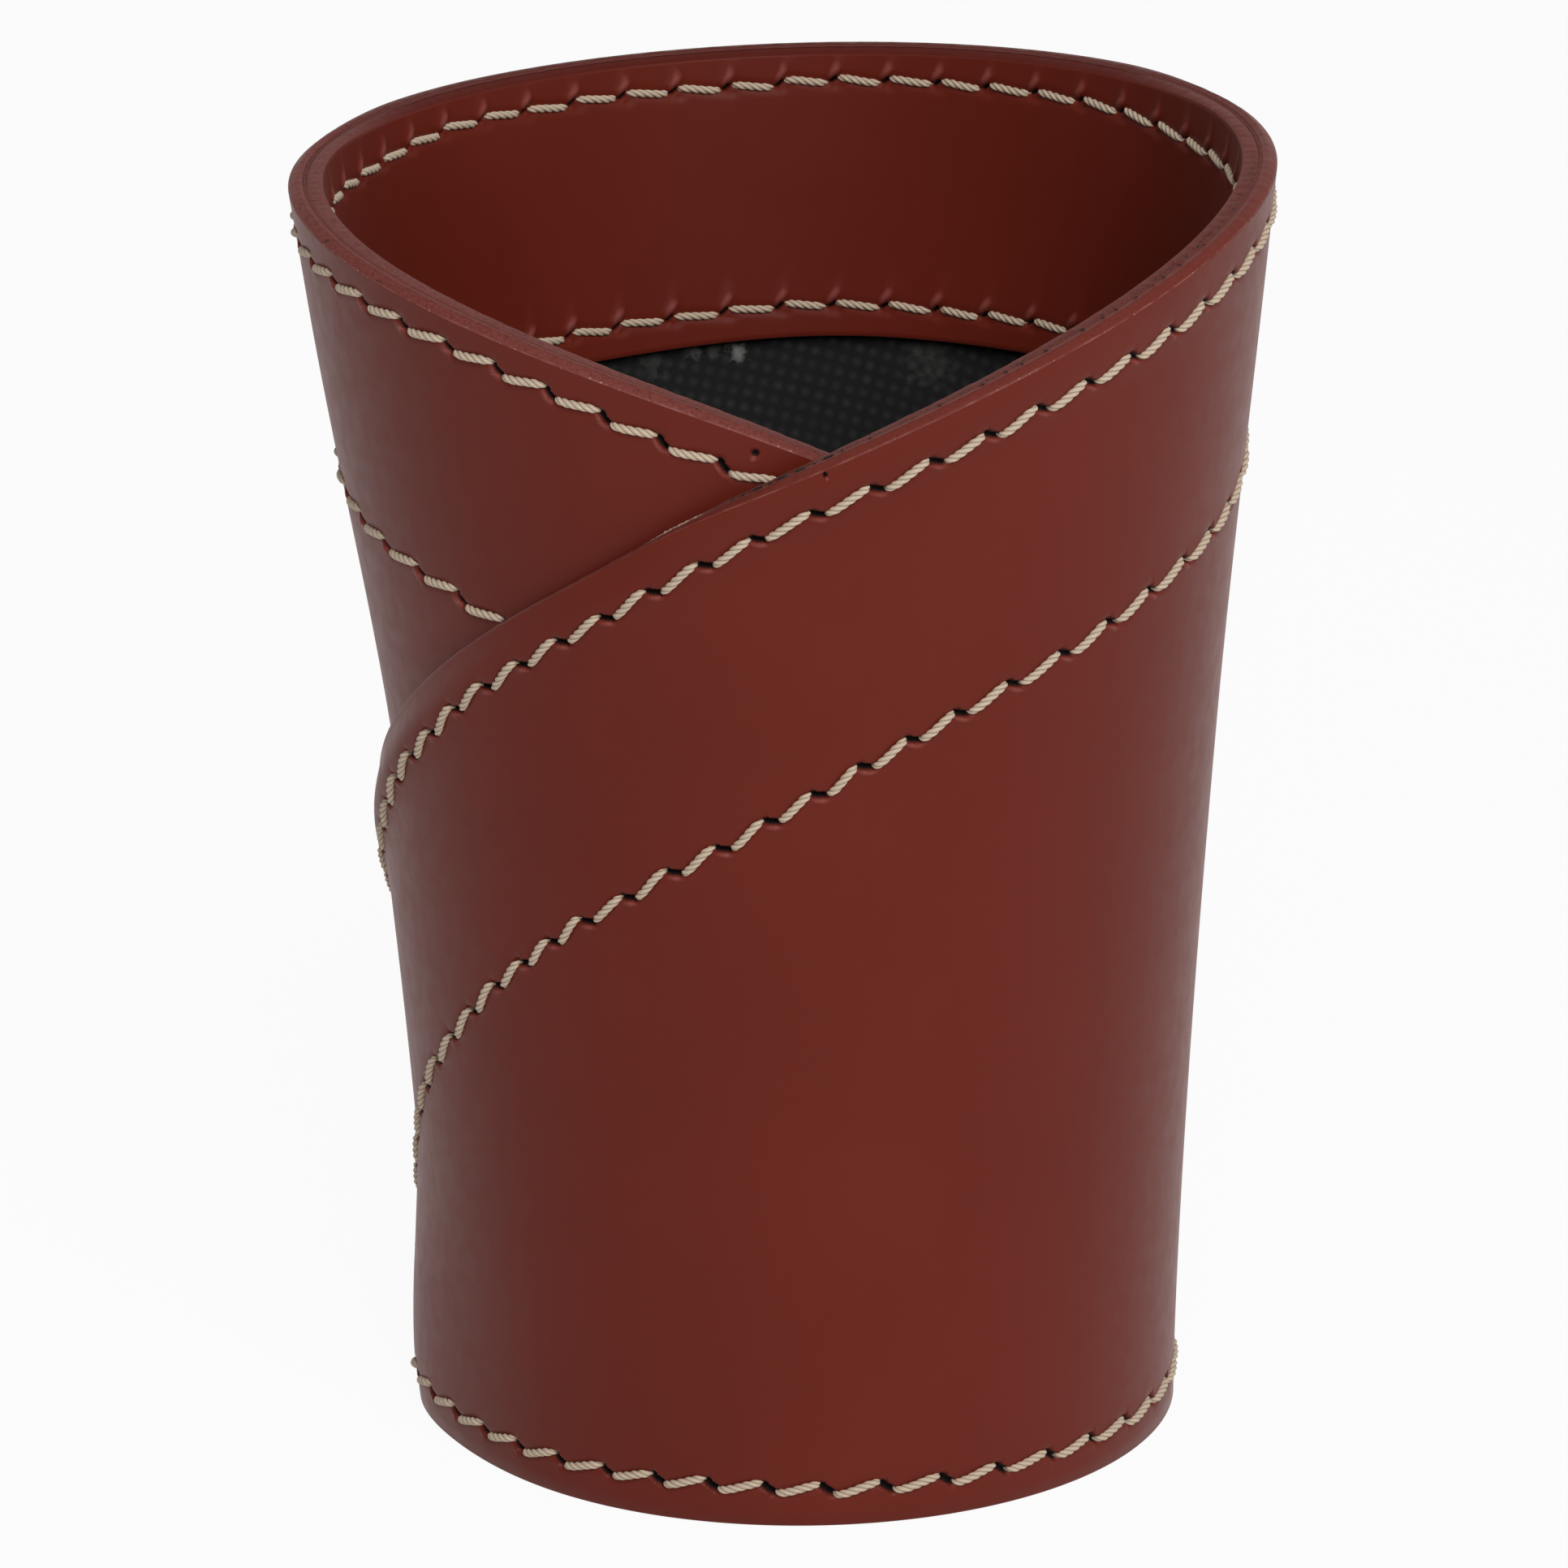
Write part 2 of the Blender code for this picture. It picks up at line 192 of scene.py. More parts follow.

# Seams: rows of twisted thread between slit holes, each row's inset at listed marks
EDGE_ROW = in_mm(
    (-175, 3.6), (-137, 2.82), (-120, 3.04), (-100, 3.55), (-72, 3.6), (-48, 2.8), (-2, 2.95),
    (2, 2.65), (35, 2.9), (70, 3.75), (100, 3.8), (130, 4.2), (168, 3.87), (187, 3.52),
    (205, 3.55), (228, 3.68), (244, 4.05), (260, 4.4))
BAND_ROW = in_mm(
    (-145, 24.8), (-118, 25.05), (-75, 23.2), (-30, 22.0), (5, 21.45), (40, 21.95), (80, 23.6),
    (120, 25.0), (148, 24.82), (182, 24.18), (192, 24.15), (206, 23.86), (221, 23.32), (245, 22.7))
FOOT_ROW = in_mm((120, 3.0), (165, 3.05), (195, 3.25), (235, 2.9))
ROW_INSETS = (3.7 * MM, 24.0 * MM)
# How far the holes drift along their row from an even pitch, at listed marks
EDGE_DRIFT = in_mm(
    (-177, -0.15), (-165, 0.15), (-140, -0.28), (-112, 0.22), (-70, 0.0), (-20, 0.15), (8, -0.1),
    (32, -0.55), (65, 0.5), (98, 0.7), (130, 0.4), (162, -0.35), (186, 0.12), (210, -0.15),
    (235, -0.7), (260, -1.2))
BAND_DRIFT = in_mm(
    (-145, -2.55), (-116, -0.95), (-50, 0.1), (-28, -0.7), (-5, 0.5), (40, 0.9), (80, 0.0),
    (125, -1.3), (172, 0.45), (206, -1.45), (236, -1.8), (255, -3.5))
FOOT_DRIFT = in_mm((112, -1.0), (135, -0.7), (173, 0.4), (191, 0.3), (208, 0.0), (234, 0.0))
EDGE_PITCH = 4.877 * MM
EDGE_START = -0.45
BAND_PITCH = 4.72 * MM
BAND_START = 181.1
FOOT_PITCH = 4.75 * MM
FOOT_START = 176.8
STITCH_SWEEP = 1.35
STITCH_SEED = 5
STITCH_SCATTER = 0.045 * MM
SLANT_SCATTER = 0.14
SEAM_END_MARGIN = 1.6 * MM
UNDER_FLAP = -3.0 * MM
FOOT_BOBBIN_ENDS = (2.0, 5.0)
THREAD_RADIUS = 0.34 * MM
THREAD_DIVE = 0.65 * MM
THREAD_TAPER = 0.3
THREAD_LEAD = 2.1 * MM
THREAD_PLIES = 3
PLY_CENTRE = 0.42
GROOVE_POWER = 3
TAPER_POWER = 8
TWIST_STEP = 2.4
FLOAT_OVERRUN = 0.35
FLOAT_POWERS = (0.9, 0.36)
FLOAT_WEIGHTS = (2.0, 0.8)
FLOAT_RINGS = 34
RING_SIDES = 24

# Holes of the seams in the leather
SLIT_TURN = math.radians(-35.0)
SLIT_DEPTH = 0.75 * MM
SLIT_END_POWER = 6
SLIT_SIDE_POWER = 4
TROUGH_HALF_WIDTH = 0.42 * MM
TROUGH_DEPTH = 0.2 * MM
PIN_HOLES = ((-176.8, 1.62 * MM, 0.26 * MM), (176.4, 0.82 * MM, 0.18 * MM))
PIN_DEPTH = 0.5 * MM
PIN_POWER = 4

# A mound or dent beside each hole: its place along and across the row, its long axis's turn, its size, and its
# tint, a share of lip colour that is partly raised grain and partly painted sheen
Mound = namedtuple("Mound", "along across turn half_length half_width height tint")
OUTER_LIP = Mound(0.15 * MM, 0.46 * MM, SLIT_TURN, 0.75 * MM, 0.2 * MM, 0.18 * MM, 0.9)
FOOT_LIP = Mound(0.22 * MM, 0.36 * MM, SLIT_TURN, 0.5 * MM, 0.2 * MM, 0.07 * MM, 0.2)
# The inner lips' full tint is painted sheen on the mounds
INNER_LIP = Mound(0.2 * MM, -0.9 * MM, math.radians(-52.0), 0.9 * MM, 0.36 * MM, 0.24 * MM, 1.0)
INNER_DENT = Mound(0.45 * MM, 0.5 * MM, 0.0, 0.55 * MM, 0.32 * MM, -0.15 * MM, 0.0)

# The sides of a seam: the way out of the leather, its stitches' slant, gap and depth, its slits and mounds
Side = namedtuple("Side", "outward slant gap sunk slit_half_length slit_half_width mounds")
NEEDLE_SIDE = Side(1.0, 0.36 * MM, 1.65 * MM, 0.28 * MM, 0.72 * MM, 0.20 * MM, (OUTER_LIP,))
FOOT_SIDE = NEEDLE_SIDE._replace(slit_half_width=0.26 * MM, mounds=(FOOT_LIP,))
BOBBIN_SIDE = Side(-1.0, 0.17 * MM, 1.4 * MM, 0.36 * MM, 0.36 * MM, 0.12 * MM, (INNER_LIP, INNER_DENT))

# Fineness of the meshes
FINE_STEP = 0.3
COARSE_STEP = 3.0
FINE_LEVEL = 0.17 * MM
COARSE_LEVEL = 1.5 * MM
FINE_REACH = 1.1 * MM
ROW_ZONE = 30.0 * MM
FOOT_ZONE = 6.5 * MM
MIDDLE_LEVELS = 26
PLAIN_LEVELS = 20
GLUED_LEVELS = 12
BASE_COLUMNS = 192
ROOM_SHARE = 0.8
OUTSIDE_MARGIN = 12.0
INSIDE_MARGIN = 14.0
SHARP_ANGLE = math.radians(50.0)
ROW_SAMPLES = 6000
RUN_SAMPLES = 4000
SEAM_SAMPLES = 2000
FLOAT_SAMPLES = 400

# Backing fabric: a square grid of embossed dots, turned a little
DOT_PITCH = 1.2 * MM
DOT_TURN = math.radians(15.0)
DOT_MIDDLE = (0.5, 0.5, 0.0)
DOT_PLANE = (1.0, 1.0, 0.0)

# Pale specks of glue on the backing below the band: x, y, z and radius in millimetres, and strength
GLUE_SPOTS = (
    (-4.1, 34.2, 79.6, 1.0, 0.8), (-6.2, 33.9, 79.7, 0.7, 0.2), (-7.9, 33.6, 79.8, 0.8, 0.35),
    (-11.2, 32.5, 79.2, 1.6, 0.1), (11.8, 32.5, 79.4, 2.8, 0.1))

# Camera, as fitted to the photograph's frame
CAMERA_BACK = 700.0 * MM
CAMERA_HEIGHT = 275.0 * MM
CAMERA_YAW = math.radians(-0.13)
CAMERA_PITCH = math.radians(17.634)
CAMERA_ROLL = math.radians(-0.6)
FRAME_PIXELS = 1932
FOCAL_PIXELS = 11129
SENSOR = 36.0
CLIP_END = 20.0

# Floor, surrounding light and softboxes
FLOOR_REACH = 3.0
FLOOR_LEVEL = -0.1 * MM
FLOOR_ROUGHNESS = 0.9
FLOOR_GLOW = 0.94
AMBIENT = 0.16
# Name, place, width and power of each softbox
SOFTBOXES = (
    ("key", (0.25, -0.99, 0.84), 0.9, 10.8),
    ("side", (0.95, -0.3, 0.12), 0.4, 1.0),
    ("top", (0.0, 0.1, 1.3), 1.0, 0.6))

# Fineness of the materials' grain, and the span that noise mostly keeps to
NOISE_SPAN = (0.3, 0.7)
TONE_SIZE = 18.0 * MM
MOTTLE_SIZE = 1.6 * MM
GRAIN_SIZE = 0.34 * MM
LEATHER_FIBRE = 0.25 * MM
SPECK_SIZE = 0.5 * MM
LEATHER_BUMP = 0.03 * MM
SHEEN_ROUGHNESS = 0.35
FABRIC_FIBRE = 0.2 * MM
FABRIC_PATCH = 2.2 * MM
FABRIC_BUMP = 0.06 * MM
GLUE_CLUMP = 0.7 * MM
THREAD_FIBRE = 0.12 * MM
THREAD_BUMP = 0.04 * MM
BOARD_FIBRE = 0.9 * MM
BOARD_BUMP = 0.1 * MM

# Colours as linear RGB
WHITE = (1.0, 1.0, 1.0, 1.0)
FLOOR_COLOUR = (0.9, 0.9, 0.9, 1.0)
LEATHER_DARK = (0.141, 0.0172, 0.0086, 1.0)
LEATHER_LIGHT = (0.153, 0.0190, 0.0098, 1.0)
SHEEN_COLOUR = (1.0, 0.84, 0.78, 1.0)
# Lip colour: partly the raised grain beside a hole, partly painted sheen on the mounds
LIP_AND_SHEEN_COLOUR = (0.300, 0.075, 0.060, 1.0)
# Cut edge colours: the raw edge's own lighter tone, lightened further as painted top light
CUT_DARK_WITH_TOP_LIGHT = (0.146, 0.030, 0.022, 1.0)
CUT_LIGHT_WITH_TOP_LIGHT = (0.210, 0.050, 0.040, 1.0)
BAND_CUT_DARK_WITH_TOP_LIGHT = (0.156, 0.042, 0.034, 1.0)
BAND_CUT_LIGHT_WITH_TOP_LIGHT = (0.222, 0.070, 0.060, 1.0)
WORN_COLOUR = (0.300, 0.115, 0.095, 1.0)
CHAFED_COLOUR = (0.620, 0.480, 0.430, 1.0)
PAINT_COLOUR = (0.135, 0.030, 0.022, 1.0)
# Edge paint round the back, made darker than the face as painted shade
RIM_PAINT_AND_SHADE_COLOUR = (0.098, 0.0095, 0.0048, 1.0)
SCUFF_COLOUR = (0.022, 0.009, 0.007, 1.0)
# Painted shade inside the stitch and pin holes; it also colours real dark specks in the cut edge
HOLE_SHADE_AND_SPECK_COLOUR = (0.012, 0.0075, 0.0065, 1.0)
FRAY_COLOUR = (0.540, 0.400, 0.310, 1.0)
GLUE_COLOUR = (0.300, 0.310, 0.290, 1.0)
FABRIC_DARK = (0.0062, 0.0062, 0.0064, 1.0)
FABRIC_DOT = (0.029, 0.029, 0.028, 1.0)
BOARD_DARK = (0.19, 0.165, 0.13, 1.0)
BOARD_LIGHT = (0.29, 0.255, 0.21, 1.0)
THREAD_LIGHT = (0.69, 0.555, 0.41, 1.0)
# Painted shade in the grooves between the thread's plies
THREAD_GROOVE_SHADE = (0.25, 0.175, 0.112, 1.0)


def smooth_step(share):
    share = np.clip(share, 0.0, 1.0)
    return share * share * (3.0 - 2.0 * share)


def rising(value, ramp):
    start, length = ramp
    return smooth_step((value - start) / length)


def within(mark, run):
    """One inside a run of marks, fading at both of its ends."""
    first, last, fade = run
    return smooth_step((mark - first) / fade) * smooth_step((last - mark) / fade)


def hump(mark, spot, power=2):
    centre, reach = spot
    return np.exp(-((mark - centre) / reach) ** power)


def run_lengths(points):
    """Lengths along a line of points, from its start."""
    steps = np.linalg.norm(np.diff(points, axis=0), axis=1)
    return np.concatenate(([0.0], np.cumsum(steps)))


def waves(mark, rates):
    return sum(np.sin(rate * mark) for rate in rates) / len(rates)


# The wrap


def profile_radius(height):
    share = np.maximum(height, 0.0) / CUP_HEIGHT
    return FOOT_RADIUS + (RIM_RADIUS - FOOT_RADIUS) * share ** FLARE_POWER


def past_level(mark):
    return np.maximum(0.0, np.abs(mark - BLANK_TURN) - LEVEL_HALF_ANGLE)


def edge_height(mark):
    rise = RIM_RISE * hump(mark, RIM_RISE_SPOT)
    flap = rising(mark, FLAP_DROP_RAMP) * (1.0 - rising(mark, FLAP_DROP_END))
    return CUP_HEIGHT + rise - FLAP_DROP * flap - EDGE_DROP * past_level(mark) ** 2


def edge_stretch(mark):
    """Fall of the top edge per metre run, and metres along it per metre run."""
    run_per_degree = math.radians(1.0) * profile_radius(edge_height(mark))
    fall = 2.0 * EDGE_DROP * past_level(mark) / run_per_degree
    return fall, np.hypot(1.0, fall)


def row_place(mark, inset):
    """Wrap angle and height at an inset below a mark."""
    fall, stretch = edge_stretch(mark)
    height = edge_height(mark) - inset / stretch
    back = np.degrees(inset * fall / stretch / profile_radius(height))
    return mark - np.sign(mark - BLANK_TURN) * back, height


def below_edge(angle, height):
    return (edge_height(angle) - height) / edge_stretch(angle)[1]


def band_cover(angle, height):
    """One where the facing band lies inside, settling to zero below it and at the foot."""
    past_band = below_edge(angle, height) - BAND_WIDTH - BAND_SETTLE_START
    over_foot = (height - FOOT_LEVEL) / (BAND_FOOT - FOOT_LEVEL)
    return (1.0 - smooth_step(past_band / BAND_SETTLE_LENGTH)) * smooth_step(over_foot)


def overlap(angle, height):
    """One where two turns lie on each other, fading above the neighbouring turn's edge."""
    neighbour_edge = np.maximum(edge_height(angle - FULL_TURN), edge_height(angle + FULL_TURN))
    return 1.0 - smooth_step((height - neighbour_edge) / WING_SETTLE_LENGTH)


def outward_share(angle, height):
    """Share of the band's thickness that stands out over the under wing; the rest presses that wing in."""
    return EDGE_OUTWARD_SHARE * (1.0 - rising(below_edge(angle, height), EDGE_BULGE_RAMP))


def wrap_shift(angle, height):
    """How far the turns that lie on each other move the outer face outwards."""
    outer_turn = angle + FULL_TURN
    has_inner = angle - FULL_TURN >= TIP_UNDER
    has_outer = outer_turn <= TIP_OVER
    shift = TURN_PITCH * (angle - FRONT) / FULL_TURN
    shift = shift + has_inner * BAND_STEP * band_cover(angle, height) * outward_share(angle, height)
    pressed = BAND_STEP * band_cover(outer_turn, height) * (1.0 - outward_share(outer_turn, height))
    pressed = pressed - SKIVE * near_edge(outer_turn, height, SKIVE_REACH)
    return (shift - has_outer * pressed) * overlap(angle, height)


def unevenness(angle, height):
    """The foot stands out on the left, less at the floor, and the rim is drawn in beside the back."""
    leftward = np.maximum(0.0, -np.cos(np.radians(BACK_BEARING - angle)))
    curled = 1.0 - smooth_step(height / FOOT_CURL_LEVEL)
    foot_share = 1.0 - rising(height, FOOT_SPREAD_RAMP)
    foot_share = foot_share * (1.0 - (1.0 - FOOT_SPREAD_LEAST) * curled)
    beside_back = 1.0 - smooth_step(np.abs(np.abs(angle) - RIM_PINCH_ANGLE) / RIM_PINCH_REACH)
    rim_share = (height / CUP_HEIGHT) ** RIM_PINCH_POWER
    spread = FOOT_SPREAD * leftward ** FOOT_SPREAD_POWER * foot_share
    return spread - RIM_PINCH * beside_back * rim_share


def near_edge(angle, height, reach):
    """One at the outer wing's edge on the left, fading below it and towards the crossing."""
    return rising(angle, TUCK_RAMP) * (1.0 - smooth_step(below_edge(angle, height) / reach))


def ply_radius(angle, height, depth):
    """Radius at a depth below the outer face; the plies thin where the edge is skived and tucked."""
    tuck = TUCK * near_edge(angle, height, TUCK_REACH)
    skive = SKIVE * near_edge(angle, height, SKIVE_REACH)
    face = profile_radius(height) + wrap_shift(angle, height) + unevenness(angle, height)
    return face - tuck - depth * (1.0 - (tuck + skive) / RIM_DEPTH)


def place(angle, height, radius):
    """Points of the cup, with the rim's lean and tilt."""
    turn = np.radians(BACK_BEARING - angle)
    share = height / CUP_HEIGHT
    across = radius * np.cos(turn)
    return np.stack((
        FOOT_CENTRE[0] + across + RIM_LEAN * share ** 2,
        FOOT_CENTRE[1] + radius * np.sin(turn),
        height + RIM_TILT * across * share,
    ), axis=-1)


# Seams


def row_inset(row, mark):
    """Inset of a row at a mark, easing from one listed mark to the next."""
    marks, insets = np.array(row).T
    mark = np.clip(mark, marks[0], marks[-1])
    after = np.clip(np.searchsorted(marks, mark, side="right"), 1, len(marks) - 1)
    share = smooth_step((mark - marks[after - 1]) / (marks[after] - marks[after - 1]))
    return insets[after - 1] + (insets[after] - insets[after - 1]) * share


def edge_spot(row):
    def spot(mark, across):
        return row_place(mark, row_inset(row, mark) + across)
    return spot


def foot_spot(mark, across):
    return mark + 0.0 * across, row_inset(FOOT_ROW, mark) - across


class Seam:
    """One side of a row of stitches: where its line and its holes are on that face."""

    def __init__(self, spot, first, last, depth, side, hole_marks):
        self.spot = spot
        self.depth = depth
        self.side = side
        self.marks = np.linspace(first, last, SEAM_SAMPLES)
        self.lengths = run_lengths(self.points(self.marks, 0.0, 0.0))
        shown = hole_marks[(hole_marks > first) & (hole_marks < last)]
        self.holes = self.length(shown)

    def length(self, mark):
        return np.interp(mark, self.marks, self.lengths)

    def points(self, mark, across, lift):
        angle, height = self.spot(mark, across)
        return place(angle, height, ply_radius(angle, height, self.depth) + self.side.outward * lift)

    def at(self, length, across, lift):
        return self.points(np.interp(length, self.lengths, self.marks), across, lift)

    def floats(self):
        """Middles and half lengths of the stitches between neighbouring holes."""
        reach = np.diff(self.holes)
        real = reach > 2.0 * self.side.gap
        return (self.holes[:-1] + reach / 2.0)[real], ((reach - self.side.gap) / 2.0)[real]

    def hole_offset(self, mark):
        """Distance along the row from the nearest hole, and half the way from there to the next."""
        length = self.length(mark)
        nearest = np.argmin(np.abs(length[..., None] - self.holes), axis=-1)
        offset = length - self.holes[nearest]
        following = np.clip(nearest + np.sign(offset).astype(int), 0, len(self.holes) - 1)
        half = np.abs(self.holes[following] - self.holes[nearest]) / 2.0
        runs_here = (mark > self.marks[0]) & (mark < self.marks[-1])
        return np.where(runs_here, offset, CUP_HEIGHT), half * runs_here


def float_across(share, slant):
    """Sideways sweep of a stitch: its start is nearer the edge than its end."""
    return slant * np.sin(STITCH_SWEEP * share)


def spaced_marks(spot, start, pitch, drift):
    """Marks of holes about a pitch apart, on both sides of a start."""
    marks = np.linspace(TIP_UNDER, TIP_OVER, ROW_SAMPLES)
    angle, height = spot(marks, 0.0)
    lengths = run_lengths(place(angle, height, ply_radius(angle, height, 0.0)))
    first = np.interp(start, marks, lengths) % pitch
    even = np.arange(first, lengths[-1], pitch)
    drift_marks, drifts = np.array(drift).T
    drifted = even + np.interp(np.interp(even, lengths, marks), drift_marks, drifts)
    return np.interp(drifted, lengths, marks)


def visible_run(spot, covering_turn, margin):
    """Marks between which a row is open to view and has the band behind it."""
    marks = np.linspace(TIP_UNDER, TIP_OVER, RUN_SAMPLES)
    angle, height = spot(marks, 0.0)
    covering = angle + covering_turn
    covered = (covering > TIP_UNDER) & (covering < TIP_OVER)
    covered &= edge_height(covering) + margin > height
    shown = ~covered & (height > BAND_FOOT + SEAM_END_MARGIN)
    return marks[shown][0], marks[shown][-1]


def make_seams():
    edge_line = edge_spot(EDGE_ROW)
    band_line = edge_spot(BAND_ROW)
    edge_holes = spaced_marks(edge_line, EDGE_START, EDGE_PITCH, EDGE_DRIFT)
    band_holes = spaced_marks(band_line, BAND_START, BAND_PITCH, BAND_DRIFT)
    foot_holes = spaced_marks(foot_spot, FOOT_START, FOOT_PITCH, FOOT_DRIFT)
    end = math.degrees(SEAM_END_MARGIN / FOOT_RADIUS)
    flange = SHEET_DEPTH + BASE_CLEARANCE + BASE_LEATHER
    needle_foot = TIP_OVER - FULL_TURN + end, TIP_OVER - end
    bobbin_first, bobbin_last = FOOT_BOBBIN_ENDS
    bobbin_foot = TIP_UNDER + bobbin_first * end, TIP_UNDER + FULL_TURN - bobbin_last * end
    seams = {
        "foot_seam_needle": Seam(foot_spot, *needle_foot, 0.0, FOOT_SIDE, foot_holes),
        "foot_seam_bobbin": Seam(foot_spot, *bobbin_foot, flange, BOBBIN_SIDE, foot_holes),
    }
    for row, line, holes in (("edge_seam", edge_line, edge_holes), ("band_seam", band_line, band_holes)):
        outside = visible_run(line, FULL_TURN, UNDER_FLAP)
        inside = visible_run(line, -FULL_TURN, SEAM_END_MARGIN)
        seams[f"{row}_needle"] = Seam(line, *outside, 0.0, NEEDLE_SIDE, holes)
        seams[f"{row}_bobbin"] = Seam(line, *inside, RIM_DEPTH, BOBBIN_SIDE, holes)
    return seams


def mound_share(mound, along, across):
    """Share of a mound's height at places along and across its row."""
    run, rise = math.cos(mound.turn), math.sin(mound.turn)
    past, below = along - mound.along, across - mound.across
    lengthwise = (past * run + below * rise) / mound.half_length
    crosswise = (below * run - past * rise) / mound.half_width
    return np.exp(-lengthwise ** 2 - crosswise ** 2)


def seam_relief(seam, marks, across):
    """Relief of the leather beside a row: height, and shares of hole and of lip colour, which holds painted
    sheen.
    """
    side = seam.side
    offset, half = (values[:, None] for values in seam.hole_offset(marks))
    run, rise = math.cos(SLIT_TURN), math.sin(SLIT_TURN)
    along_slit = (offset * run + across * rise) / side.slit_half_length
    across_slit = (across * run - offset * rise) / side.slit_half_width
    hole = np.exp(-along_slit ** SLIT_END_POWER - across_slit ** SLIT_SIDE_POWER)
    from_middle = np.sign(offset) * (np.abs(offset) - half)
    share = np.clip(from_middle / np.maximum(half - side.gap / 2.0, side.gap / 2.0), -1.0, 1.0)
    under = np.exp(-((across - float_across(share, side.slant)) / TROUGH_HALF_WIDTH) ** 2)
    trough = under * (half > side.gap) * (np.abs(offset) < 2.0 * half)
    height = -SLIT_DEPTH * hole - TROUGH_DEPTH * trough
    lip = np.zeros(hole.shape)
    for mound in side.mounds:
        raised = mound_share(mound, offset, across)
        height = height + mound.height * raised
        # Share of lip colour, partly raised grain and partly painted sheen
        lip = lip + mound.tint * raised
    return np.stack((height, hole, lip))


# Meshes


def add_object(name, data):
    thing = bpy.data.objects.new(name, data)
    bpy.context.scene.collection.objects.link(thing)
    return thing


def mesh_object(name, points, quads, caps, material, attributes):
    """A piece of four-sided faces and end caps, all turned outwards."""
    volume = np.sum(points[quads[:, 0]] * np.cross(points[quads[:, 1]], points[quads[:, 2]]))
    volume += np.sum(points[quads[:, 0]] * np.cross(points[quads[:, 2]], points[quads[:, 3]]))
    order = 1 if volume > 0.0 else -1
    corners = [quads[:, ::order].ravel(), *[cap[::order] for cap in caps]]
    starts = np.arange(len(quads)) * 4
    ends = np.cumsum([quads.size, *[len(cap) for cap in caps]])[:-1]
    corner_list = np.concatenate(corners)
    start_list = np.concatenate((starts, ends))
    mesh = bpy.data.meshes.new(name)
    mesh.vertices.add(len(points))
    mesh.vertices.foreach_set("co", points.astype(np.float32).ravel())
    mesh.loops.add(len(corner_list))
    mesh.loops.foreach_set("vertex_index", corner_list.astype(np.int32))
    mesh.polygons.add(len(start_list))
    mesh.polygons.foreach_set("loop_start", start_list.astype(np.int32))
    mesh.update(calc_edges=True)
    mesh.shade_smooth()
    mesh.set_sharp_from_angle(angle=SHARP_ANGLE)
    for label, values in attributes.items():
        kind = "FLOAT_VECTOR" if values.ndim > 1 else "FLOAT"
        layer = mesh.attributes.new(label, kind, "POINT")
        layer.data.foreach_set("vector" if values.ndim > 1 else "value", values.astype(np.float32).ravel())
    mesh.materials.append(material)
    piece = add_object(name, mesh)
    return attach(piece, "root")


def tube(rings, sides, first=0):
    """Faces and end caps of a tube of closed rings, laid out ring after ring."""
    ring = np.arange(rings - 1)[:, None] * sides + first
    side = np.arange(sides)
    following = (side + 1) % sides
    corners = ring + side, ring + sides + side, ring + sides + following, ring + following
    caps = [first + side, first + (rings - 1) * sides + side[::-1]]
    return np.stack(corners, -1).reshape(-1, 4), caps


def loft(name, loops, material, attributes):
    """A closed body through loops of points, with both ends capped."""
    columns, count = loops.shape[:2]
    flat = {label: values.reshape(columns * count, *values.shape[2:]) for label, values in attributes.items()}
    return mesh_object(name, loops.reshape(-1, 3), *tube(columns, count), material, flat)


def graded(start, stop, rows):
    """Levels from start to stop, close together near the rows."""
    levels = [start]
    while levels[-1] < stop:
        gap = min(abs(levels[-1] - row) for row in rows)
        share = smooth_step((gap - FINE_REACH) / (2.0 * FINE_REACH))
        levels.append(levels[-1] + FINE_LEVEL + (COARSE_LEVEL - FINE_LEVEL) * float(share))
    levels[-1] = stop
    return np.array(levels)


def column_marks(fine_first, fine_last):
    """Marks from tip to tip, close together where the ply is open to view."""
    before = np.arange(TIP_UNDER, fine_first, COARSE_STEP)
    fine = np.arange(max(fine_first, TIP_UNDER), min(fine_last, TIP_OVER), FINE_STEP)
    after = np.arange(fine_last, TIP_OVER, COARSE_STEP)
    return np.concatenate((before, fine, after, [TIP_OVER]))


